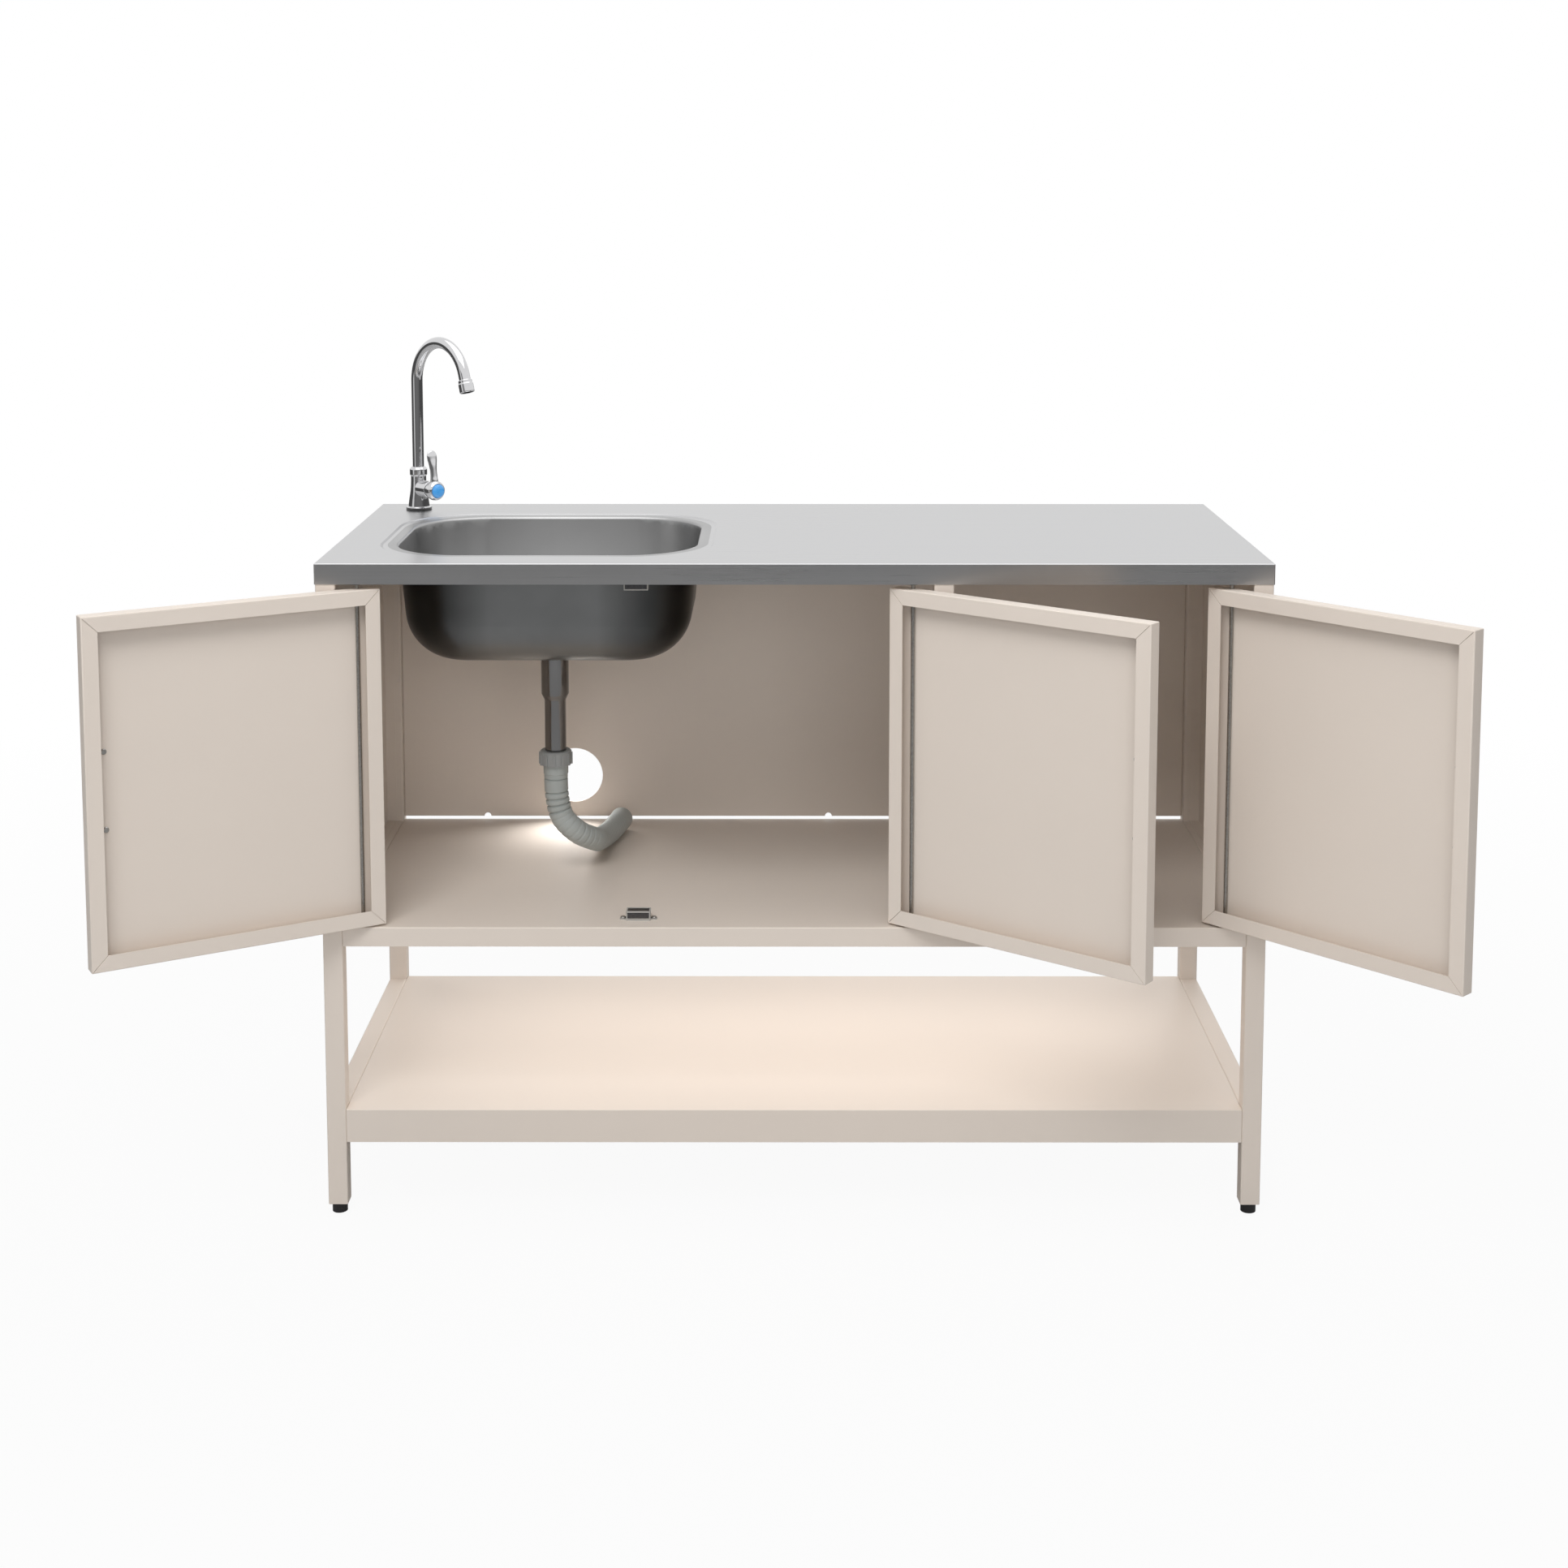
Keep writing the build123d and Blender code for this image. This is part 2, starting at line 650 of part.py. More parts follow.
def waste_locknut():
    """Six-lugged nut that pulls the outlet down."""
    nut = ring(locknut_radius, waste_radius + fit_gap, locknut_bottom, locknut_bottom + locknut_height)
    for i in range(6):
        notch = Rot(0, 0, 60 * i) * Pos(locknut_radius + 1, 0, 0) * Cylinder(5.0, 3 * locknut_height)
        nut -= Pos(0, 0, locknut_bottom) * notch
    return on_drain(nut)


def tailpiece():
    """Plated tube that narrows from the outlet's size to the hose socket's."""
    upper, lower = tail_upper_radius, tail_lower_radius
    cone_end = tail_upper_end - tail_cone
    low = socket_top - tail_insert
    return on_drain(turned([
        (upper, locknut_bottom), (upper, tail_upper_end), (lower, cone_end), (lower, low),
        (lower - tail_wall, low), (lower - tail_wall, cone_end), (upper - tail_wall, tail_upper_end),
        (upper - tail_wall, locknut_bottom)]))


def compression_nut():
    """Ribbed plastic nut over the socket's thread."""
    low = nut_top - nut_height
    thread, bore = socket_thread_radius + fit_gap, tail_lower_radius + fit_gap
    edge = nut_radius - nut_bevel
    nut = turned([(bore, socket_top), (bore, nut_top), (edge - nut_bevel, nut_top), (edge, nut_top - nut_bevel),
                  (edge, low), (thread, low), (thread, socket_top)])
    rib_height = nut_height - 2 * nut_bevel
    rib = Pos(nut_radius - nut_bevel, 0, low + rib_height / 2) * Box(2 * nut_bevel, 2 * nut_bevel, rib_height)
    for i in range(nut_ribs):
        nut += Rot(0, 0, 360 / nut_ribs * i) * rib
    return on_drain(nut)


def hose_socket():
    """Plastic socket: thread under the nut, shoulder for the tailpiece, a wider band outside."""
    shoulder = socket_top - tail_insert
    bore, bead = tail_lower_radius + fit_gap, socket_radius + socket_bead
    band_top = nut_top - nut_height - socket_bead
    band_low = band_top - socket_bead_length
    return on_drain(turned([
        (socket_bore, socket_bottom), (socket_radius, socket_bottom), (socket_radius, band_low - socket_bead),
        (bead, band_low), (bead, band_top), (socket_radius, band_top + socket_bead),
        (socket_thread_radius, band_top + 3 * socket_bead), (socket_thread_radius, socket_top), (bore, socket_top),
        (bore, shoulder), (socket_bore, shoulder)]))


# ---- Drain hose --------------------------------------------------------------------------
def corner_radii(points):
    """The largest tangent arc that each corner of a route takes, and each corner's turn."""
    vectors = [Vector(*b) - Vector(*a) for a, b in zip(points, points[1:])]
    radii = []
    for before, after in zip(vectors, vectors[1:]):
        turn = radians(before.get_angle(after))
        radii.append(0.45 * min(before.length, after.length) / tan(turn / 2))
    return radii


def hose_path():
    """Straight runs joined by tangent arcs, along the route."""
    return FilletPolyline(*hose_route, radius=corner_radii(hose_route))


def ribbed_hose():
    """Hose with rounded ribs, lofted through four circles a rib, and its bore."""
    path = hose_path()
    length = path.length - cuff_length
    ribs = round((length - 2 * hose_plain) / rib_pitch)
    pitch = (length - 2 * hose_plain) / ribs
    root = hose_radius - hose_groove
    stations = [(0.0, hose_radius), (hose_plain, hose_radius)]
    for i in range(ribs):
        start = hose_plain + i * pitch
        stations += [(start + 0.15 * pitch, root), (start + 0.4 * pitch, root)]
        stations += [(start + 0.55 * pitch, hose_radius), (start + pitch, hose_radius)]
    stations += [(length, hose_radius)]
    sections = [hose_plane(path, at) * Circle(radius) for at, radius in stations]
    return loft([s.face() for s in sections], ruled=True) - hose_run(path, 0.0, length, hose_bore)


def hose_plane(path, at):
    """Cross-section plane at a distance along the route, its X axis kept steady."""
    share = at / path.length
    along = path.tangent_at(share)
    steady = Vector(1, 0, 0) - along * along.dot(Vector(1, 0, 0))
    return Plane(origin=path.position_at(share), x_dir=steady, z_dir=along)


def hose_run(path, start, end, radius):
    """Plain round tube along a stretch of the route."""
    stretch = path.trim(start / path.length, end / path.length)
    return sweep(hose_plane(path, start) * Circle(radius), path=stretch)


def hose_cuff():
    """Smooth end of the hose that pushes into a waste pipe."""
    path = hose_path()
    start, end = path.length - cuff_length, path.length
    plane = hose_plane(path, start)
    cuff = extrude(plane * Circle(hose_radius), cuff_length)
    return cuff - extrude(plane * Circle(hose_bore), cuff_length)


# ---- Tap: each piece is made about its own foot with the spout along +X, then turned -------
def on_tap(shape):
    """Moves a piece to the tap's place on the worktop."""
    return Pos(tap_x, tap_y, unit_height) * Rot(0, 0, tap_turn_angle) * shape


def tap_body():
    """Flared body with the valve's boss, bored for the spout, the spindle and the water."""
    curve = ThreePointArc((tap_foot_radius, 0, tap_base + 2), (tap_neck_radius + 0.8, 0, 0.5 * tap_body_height),
                          (tap_neck_radius, 0, tap_body_height))
    foot = [(0, 0), (tap_base_radius, 0), (tap_base_radius, tap_base - 1), (tap_base_radius - 1.5, tap_base),
            (tap_foot_radius, tap_base + 2)]
    lower = Polyline([(r, 0, z) for r, z in foot])
    upper = Polyline([(tap_neck_radius, 0, tap_body_height), (0, 0, tap_body_height), (0, 0, 0)])
    body = revolve(make_face(lower + curve + upper), Axis.Z)
    body += along_valve(cylinder_up(valve_radius, 0, valve_reach))
    collar_end = valve_reach - valve_collar_length / 2
    body += along_valve(cylinder_up(valve_radius + valve_collar, collar_end - valve_collar_length, collar_end))
    body -= cylinder_up(shank_bore, -1, tap_body_height)
    body -= cylinder_up(spout_foot_radius + spout_fit, tap_body_height - socket_depth, tap_body_height + 1)
    bore = cylinder_up(spindle_radius + running_gap, spindle_start - body_gap, 2 * valve_reach)
    return on_tap(body - along_valve(bore))


def spout_nut():
    """Cap nut that keeps the spout's foot in the body."""
    low, high = tap_body_height, tap_body_height + spout_nut_height
    lip = high - spout_nut_lip
    wide, narrow = spout_foot_radius + 0.3, spout_radius + spout_fit
    edge = spout_nut_radius
    return on_tap(turned([(wide, low), (edge - 1, low), (edge, low + 1.5), (edge, high - 3), (edge - 2.5, high),
                          (narrow, high), (narrow, lip), (wide, lip)]))


def spout_path():
    """Rise, arch and outlet of the spout, from its foot."""
    rise = Line((0, 0, tap_body_height - socket_depth + body_gap), (0, 0, spout_rise))
    half, full = radians(spout_turn_angle / 2), radians(spout_turn_angle)
    middle = (spout_arch * (1 - cos(half)), 0, spout_rise + spout_arch * sin(half))
    end = (spout_arch * (1 - cos(full)), 0, spout_rise + spout_arch * sin(full))
    arch = ThreePointArc((0, 0, spout_rise), middle, end)
    return rise + arch + Line(end, Vector(*end) + spout_direction() * spout_end)


def spout_direction():
    """Unit vector along the outlet."""
    full = radians(spout_turn_angle)
    return Vector(sin(full), 0, cos(full))


def spout():
    """Swan-neck tube with the thick foot that turns in the body."""
    path = spout_path()
    foot_low = tap_body_height - socket_depth + body_gap
    foot_high = tap_body_height + spout_nut_height - spout_nut_lip - body_gap
    tube_solid = sweep(Pos(0, 0, foot_low) * Circle(spout_radius), path=path)
    tube_solid += cylinder_up(spout_foot_radius, foot_low, foot_high)
    return on_tap(tube_solid - sweep(Pos(0, 0, foot_low) * Circle(spout_radius - spout_wall), path=path))


def aerator():
    """Outlet nozzle with a stepped sleeve and a recessed mouth."""
    edge, neck, mouth, step = aerator_radius, aerator_neck_radius, aerator_mouth_radius, aerator_step
    bore, end = spout_radius - spout_wall, aerator_length
    nozzle = turned([(bore, 0), (neck - step, 0), (neck, step), (neck, aerator_neck), (edge, aerator_neck + step),
                     (edge, end - step), (edge - step, end), (mouth, end), (mouth, aerator_neck), (bore, aerator_neck)])
    outlet = spout_path().position_at(1)
    return on_tap(Plane(origin=outlet, z_dir=spout_direction()).location * nozzle)


def along_valve(shape):
    """Turns a piece that is made about Z so that it lies along the valve."""
    return Pos(0, 0, valve_height) * Rot(0, 90, 0) * shape


hub_start = valve_reach + body_gap
hub_end = hub_start + hub_length


def tap_spindle():
    """Valve spindle between the body and the lever."""
    return on_tap(along_valve(cylinder_up(spindle_radius, spindle_start, hub_end - 3 * cap_depth)))


def tap_lever():
    """Flared hub with the paddle that stands up from it."""
    floor = hub_end - cap_depth
    seat = cap_radius + fit_gap
    hub = turned([(0, hub_start), (hub_back_radius - hub_bevel / 2, hub_start), (hub_back_radius, hub_start + hub_bevel),
                  (hub_front_radius, hub_end - hub_bevel), (hub_front_radius - hub_bevel / 2, hub_end), (seat, hub_end),
                  (seat, floor), (0, floor)])
    hub -= cylinder_up(spindle_radius + fit_gap, hub_start - 1, floor - 2 * cap_depth)
    # Share of the lever's height, lean towards the spout, width and thickness of each section.
    stations = ((0.14, 0.0, 9.0, 6.5), (0.4, 1.2, 7.6, 5.0), (0.65, 3.6, 9.2, 4.2), (0.88, 6.0, 12.4, 4.0),
                (0.97, 6.8, 10.0, 3.4), (1.0, 7.0, 5.0, 2.0))
    middle = (hub_start + hub_end) / 2
    sections = [Pos(middle - lean, 0, valve_height + share * lever_height) * Ellipse(thick / 2, wide / 2)
                for share, lean, wide, thick in stations]
    return on_tap(along_valve(hub) + loft([s.face() for s in sections]))


def tap_cap():
    """Domed cap in the front of the hub."""
    floor = hub_end - cap_depth
    crown = hub_end + cap_dome
    ball = (cap_radius ** 2 + cap_dome ** 2) / (2 * cap_dome)
    cap = cylinder_up(cap_radius, floor, crown + 1) & Pos(0, 0, crown - ball) * Sphere(ball)
    return on_tap(along_valve(cap))


def tap_shank():
    """Clamped stem through the worktop, with the narrower inlet below it."""
    bore, stem, inlet = shank_bore, stem_radius, inlet_radius
    return on_tap(turned([(bore, -shank_length), (inlet, -shank_length), (inlet, -stem_length), (stem, -stem_length),
                          (stem, 0), (bore, 0)]))


def tap_washer():
    """Washer under the worktop."""
    return on_tap(ring(washer_radius, stem_radius + fit_gap, -sheet - washer_thickness, -sheet))


def tap_fixing_nut():
    """Hexagon nut that clamps the tap."""
    high = -sheet - washer_thickness
    nut = extrude(Pos(0, 0, high) * RegularPolygon(fixing_nut_radius, 6), -fixing_nut_height)
    return on_tap(nut - cylinder_up(stem_radius + fit_gap, high - fixing_nut_height - 1, high + 1))


# ---- Writing ------------------------------------------------------------------------------
def save(name, shapes):
    """Writes one node, as one solid or as a group of separate solids."""
    solids = shapes if isinstance(shapes, list) else [shapes]
    solids = [solid for shape in solids for solid in shape.solids()]
    export_step(solids[0] if len(solids) == 1 else Compound(children=solids), f"parts/{name}.step")


def build_frame():
    """Legs, rails, post, feet and panels."""
    for end_name, end in (("front", -1), ("rear", 1)):
        for side_name, side in (("left", -1), ("right", 1)):
            save(f"{end_name}_{side_name}_leg", leg(side, end))
    save("feet", [foot(side, end) for side in (-1, 1) for end in (-1, 1)])
    save("front_top_rail", front_rail())
    save("rear_top_rail", cross_rail(half_depth - tube / 2, rail_top))
    for name, side in (("left", -1), ("right", 1)):
        save(f"{name}_top_rail", side_rail(side, rail_top))
        save(f"{name}_floor_rail", side_rail(side, floor_top))
        save(f"{name}_shelf_rail", side_rail(side, shelf_top))
        save(f"{name}_side_panel", side_panel(side))
    save("centre_post", centre_post())
    save("cabinet_floor", cabinet_floor())
    save("lower_shelf", shelf_tray(shelf_top, shelf_flange))
    save("back_panel", back_panel())
    save("worktop", worktop())
    save("worktop_stiffeners", [stiffener(x) for x in stiffener_places()])
    save("sink_bowl", sink_bowl())


def build_doors():
    """Doors with their rods, handles and screws, and the bushes they turn in."""
    for name, (_, hand, _) in doors.items():
        place = door_place(name)
        save(f"{name}_door", place * door_shell(hand))
        save(f"{name}_door_rod", place * pivot_rod())
        save(f"{name}_door_handle", place * door_handle(hand))
        save(f"{name}_door_screws", [place * screw for screw in door_screws(hand)])
    pivots = [pivot for pivot, _, _ in doors.values()]
    save("floor_pivot_bushes", [floor_bush(pivot) for pivot in pivots])
    save("head_pivot_bushes", [head_bush(pivot) for pivot in pivots])


def build_catches():
    """Magnetic catches, their magnets, screws and upper bracket."""
    places = list(catch_places())
    save("double_catches", [place * catch_housing(width) for place, width in places[:2]])
    save("single_catch", [place * catch_housing(width) for place, width in places[2:]])
    save("catch_magnets", [place * piece for place, width in places for piece in catch_magnet(width)])
    screws = []
    for place, width in places:
        screws += [place * Pos(side * ear_reach(width), catch_depth / 2, 0) * screw(-screw_bite, catch_base)
                   for side in (-1, 1)]
    save("catch_screws", screws)
    save("catch_bracket", catch_bracket())


def build_drain():
    """Outlet, tailpiece, socket and hose."""
    save("waste_body", waste_body())
    save("waste_gasket", waste_gasket())
    save("waste_locknut", waste_locknut())
    save("tailpiece", tailpiece())
    save("compression_nut", compression_nut())
    save("hose_socket", hose_socket())
    hose = ribbed_hose()
    save("drain_hose", hose)
    save("hose_cuff", hose_cuff())
    path = hose_path()
    print("hose: length", round(path.length, 1), "radii", [round(r, 1) for r in corner_radii(hose_route)])
    mean_area = pi * ((hose_radius - 0.4 * hose_groove) ** 2 - hose_bore ** 2)
    print("hose: volume", round(hose.volume), "section x length", round(mean_area * (path.length - cuff_length)))


def build_tap():
    """Body, nut, shank, spout, valve spindle and lever."""
    pieces = {
        "tap_body": tap_body, "spout_nut": spout_nut, "tap_shank": tap_shank, "tap_washer": tap_washer,
        "tap_fixing_nut": tap_fixing_nut, "spout": spout, "aerator": aerator, "tap_spindle": tap_spindle,
        "tap_lever": tap_lever, "tap_cap": tap_cap,
    }
    for name, make in pieces.items():
        save(name, make())


os.makedirs("parts", exist_ok=True)
build_frame()
build_doors()
build_catches()
build_drain()
build_tap()
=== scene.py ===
"""Looks of a kitchen sink unit: finishes, smooth metal, a ribbed drain hose, a tap and the studio."""
import json
import math

import bmesh
import bpy
from mathutils import Matrix, Vector


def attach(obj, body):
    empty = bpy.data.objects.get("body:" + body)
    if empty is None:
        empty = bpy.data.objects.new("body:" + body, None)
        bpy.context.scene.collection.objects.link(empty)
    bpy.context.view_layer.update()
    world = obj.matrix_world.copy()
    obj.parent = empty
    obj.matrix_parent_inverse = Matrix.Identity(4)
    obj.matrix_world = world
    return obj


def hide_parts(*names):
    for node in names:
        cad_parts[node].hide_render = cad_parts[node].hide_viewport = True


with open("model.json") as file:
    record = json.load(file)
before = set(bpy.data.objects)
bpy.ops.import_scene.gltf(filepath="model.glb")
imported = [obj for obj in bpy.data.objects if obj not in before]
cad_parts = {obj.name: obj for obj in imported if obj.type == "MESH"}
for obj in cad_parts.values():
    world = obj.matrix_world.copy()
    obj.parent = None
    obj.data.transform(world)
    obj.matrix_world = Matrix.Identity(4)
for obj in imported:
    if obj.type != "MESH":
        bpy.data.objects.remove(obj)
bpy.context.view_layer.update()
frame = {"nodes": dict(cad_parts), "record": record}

# ---- Photograph's camera, in metres and degrees ------------------------------------------------
SENSOR = 36.0
PHOTO_SIDE = 1932
FOCAL_PIXELS = 2849.0
CENTRE_ROW = 507.8          # image row of the lens axis
CAMERA_PLACE = (-0.0089, -3.1003, 1.3548)
CAMERA_PITCH = 6.294
CAMERA_YAW = 0.081

# ---- Drain hose --------------------------------------------------------------------------------
HOSE_RADIUS = 0.016
HOSE_BORE = 0.013           # inner radius
HOSE_GROOVE = 0.0023        # depth between two ribs
HOSE_SEAM = 0.0020          # width of the fine groove where the hose leaves the socket
HOSE_SEAM_DEPTH = 0.0016
HOSE_PLAIN = 0.018          # smooth length before the first rib
RIB_PITCH = 0.0085
DEEP_RIBS = 0.050           # the ribs nearest the socket are deep, the others shallow
SHALLOW_SHARE = 0.22
CUFF_LENGTH = 0.030         # smooth length at the far end
HOSE_SIDES = 48
ROUTE_STEPS = 80            # points of the route between two of its corners
# Corners that pull the hose's run, from the socket down to the floor and to its bare end.
HOSE_ROUTE = [
    (-0.324, -0.022, 0.515), (-0.324, -0.022, 0.467), (-0.298, -0.022, 0.438), (-0.272, 0.008, 0.418),
    (-0.273, 0.054, 0.405), (-0.266, 0.099, 0.3973), (-0.256, 0.142, 0.3973), (-0.250, 0.184, 0.3973),
]

# ---- Places that finishes refer to -------------------------------------------------------------
BOWL_MIDDLE = (-0.324, -0.022)
BOWL_BOTTOM = 0.6965
BOWL_DEPTH = 0.152
BOWL_LENGTH = 0.50
BOWL_PAINTED_HIGHLIGHT = 0.25                       # radius of the painted highlight in the middle of the bowl
BOWL_EYE = (*BOWL_MIDDLE, 0.93)         # every inner face of the bowl looks towards this point
TAP_PLACE = (-0.540, 0.200, 0.850)
TAP_TURN = -46.0                        # degrees from the unit's length to the valve and the outlet
VALVE_HEIGHT = 31.0                     # mm above the worktop
FOOT_PAINTED_SHADE = 0.0042                      # height of the painted shade round the tap's foot, where it meets the worktop
FLOOR_RADIUS = 3.2
FLOOR_SIDES = 96
PIPE_HOLE = (-0.322, 0.240, 0.447)      # light comes in by the pipe's hole
PIPE_PATCH = (-0.350, 0.060, 0.381)     # and falls on the cabinet's floor here

# ---- Tap, in millimetres from the middle of its foot -------------------------------------------
# Each profile is a row of radii and heights; those of the valve run out along its axis.
TURNED_SIDES = 96
CORNER_STEPS = 5            # flats that round a profile's corner
CORNER_LEAD = 1.15          # start of the straight lead, as a share of the corner's cut
BODY_PROFILE = ((18.5, 0.0), (18.5, 3.9), (15.2, 4.4), (14.6, 9.0), (13.7, 15.5), (12.7, 21.5), (11.8, 27.5),
                (11.2, 34.0), (10.9, 41.0), (10.8, 49.0), (10.0, 49.0), (10.0, 36.5), (5.0, 36.5), (5.0, 0.0))
BOSS_PROFILE = ((6.2, 7.0), (12.1, 7.0), (12.1, 29.6), (6.2, 29.6))
NUT_PROFILE = ((10.2, 49.0), (11.1, 49.0), (12.3, 50.6), (12.3, 58.6), (9.8, 62.0), (8.1, 62.0), (8.1, 56.0),
               (10.2, 56.0))
HUB_PROFILE = ((4.3, 30.5), (11.2, 30.5), (12.6, 33.0), (14.2, 40.0), (13.6, 44.5), (11.2, 47.5), (9.9, 47.5),
               (9.9, 45.6), (4.3, 45.6))
CAP_PROFILE = ((0.0, 45.6), (9.75, 45.6), (9.8, 48.2), (9.0, 50.4), (7.0, 52.0), (4.0, 52.9), (0.0, 53.2))
AERATOR_PROFILE = ((6.8, 0.0), (8.6, 0.0), (9.6, 1.0), (9.6, 5.0), (10.4, 6.0), (10.4, 17.5), (9.4, 18.5),
                   (8.6, 18.5), (8.6, 5.0), (6.8, 5.0))
SPOUT_RADIUS = 8.0
SPOUT_BORE = 6.8
SPOUT_FOOT = ((37.0, 9.9), (55.5, 9.9), (55.5, 8.0))    # height and radius
SPOUT_STRAIGHT = (56.0, 60.0, 120.0, 184.0)             # heights of the upright tube's rings
SPOUT_RISE = 186.0          # height where the arch begins
SPOUT_ARCH = 58.0           # radius of the arch
SPOUT_TURN = 163.0          # degrees that the arch turns through
SPOUT_END = 8.0             # straight length after the arch
SPOUT_STEPS = 90            # rings along the arch
CAP_SCALE = 0.01            # metres from the cap's middle to the end of its pattern of rings
LEVER_MIDDLE = 39.0         # reach of the lever from the tap's axis
LEVER_HEIGHT = 57.0
LEVER_STEPS = 6             # rings between two sections
LEVER_SIDES = 40
# Share of the lever's height, lean towards the spout, width and thickness of each section.
LEVER_SECTIONS = ((0.12, 0.0, 12.0, 9.0), (0.24, 0.4, 12.0, 8.4), (0.36, 1.1, 11.0, 7.0),
                  (0.50, 2.2, 10.8, 6.2), (0.64, 3.5, 12.8, 5.8), (0.78, 5.0, 15.8, 5.4),
                  (0.89, 6.1, 15.8, 5.2), (0.96, 6.7, 12.0, 4.4), (0.99, 7.0, 7.0, 3.0),
                  (1.00, 7.05, 2.4, 1.2))

# ---- Colours as linear values ------------------------------------------------------------------
CREAM = (0.80, 0.715, 0.637)
STEEL = (0.60, 0.60, 0.605)
BOWL_INSIDE = (0.45, 0.45, 0.45)
# dark outer side of the bowl: painted shade
BOWL_OUTSIDE_PAINTED_SHADE = (0.127, 0.130, 0.131)
CHROME = (0.72, 0.72, 0.73)
BLACK_PLASTIC = (0.012, 0.012, 0.013)
GREY_PLASTIC = (0.42, 0.445, 0.432)
NUT_PLASTIC = (0.32, 0.325, 0.32)
CAP_BLUE = (0.13, 0.62, 1.0)
CAP_PAINTED_GLOW = 0.55             # painted glow: light the clear blue plastic gives off though it is no lamp
CAP_RING = (0.02, 0.14, 0.42)

# ---- Shading: sharpest angle in degrees that is still smooth -----------------------------------
CAD_SMOOTH = 32.0
TAP_SMOOTH = 42.0
HOSE_SMOOTH = 50.0

# ---- Lamps: name, place, target, size, power in watts, shown by metal, spread in degrees -------
LAMPS = (
    ("overhead", (0.0, -0.3, 3.4), (0, 0, 0.4), (3.4, 3.4), 36, True, 180.0),
    ("key", (-0.8, -2.5, 3.5), (0, -0.2, 0.4), (1.8, 1.8), 58, False, 180.0),
    ("front", (0.3, -3.6, 1.35), (0, 0, 0.6), (1.8, 1.4), 19, False, 180.0),
    ("back", (0.6, 3.2, 2.0), (0, 0, 0.5), (1.8, 1.8), 34, False, 180.0),
    ("pipe_hole", PIPE_HOLE, PIPE_PATCH, (0.07, 0.07), 0.20, False, 120.0),
    ("shelf", (0, 0, 0.372), (0, 0, 0.14), (1.05, 0.40), 0.85, False, 140.0),
    ("back_side", (-2.6, 2.0, 1.15), (0, 0, 0.2), (1.4, 1.4), 12, False, 180.0),
    ("back_side", (2.6, 2.0, 1.15), (0, 0, 0.2), (1.4, 1.4), 12, False, 180.0),
)


# ---- Node building -----------------------------------------------------------------------------
class Wire:
    """A node's output that takes part in sums and products."""

    def __init__(self, net, socket):
        self.net, self.socket = net, socket

    def _math(self, operation, *values):
        return self.net.add("ShaderNodeMath", {"operation": operation}, dict(enumerate(values)))

    def __add__(self, other):
        return self._math("ADD", self, other)

    def __sub__(self, other):
        return self._math("SUBTRACT", self, other)

    def __rsub__(self, other):
        return self._math("SUBTRACT", other, self)

    def __mul__(self, other):
        return self._math("MULTIPLY", self, other)

    def __truediv__(self, other):
        return self._math("DIVIDE", self, other)

    def __gt__(self, other):
        return self._math("GREATER_THAN", self, other)

    def __lt__(self, other):
        return self._math("LESS_THAN", self, other)

    __radd__ = __add__
    __rmul__ = __mul__

    def most(self, other):
        return self._math("MAXIMUM", self, other)

    def sine(self):
        return self._math("SINE", self)

    def ramp(self, *stops):
        """Grey levels at places from 0 to 1 along this value."""
        return self.net.add("ShaderNodeValToRGB", {"stops": stops}, {0: self})


class Net:
    """A node tree that grows one node at a time."""

    def __init__(self, tree):
        self.tree = tree

    def add(self, kind, settings=None, inputs=None, out=0):
        node = self.tree.nodes.new(kind)
        for name, value in (settings or {}).items():
            if name == "stops":
                self._set_stops(node, value)
            else:
                setattr(node, name, value)
        for name, value in (inputs or {}).items():
            if isinstance(value, Wire):
                self.tree.links.new(value.socket, node.inputs[name])
            else:
                node.inputs[name].default_value = value
        return Wire(self, node.outputs[out]) if len(node.outputs) else node

    @staticmethod
    def _set_stops(node, stops):
        elements = node.color_ramp.elements
        while len(elements) < len(stops):
            elements.new(1.0)
        for element, (place, level) in zip(elements, stops):
            element.position = place
            element.color = (level, level, level, 1.0)


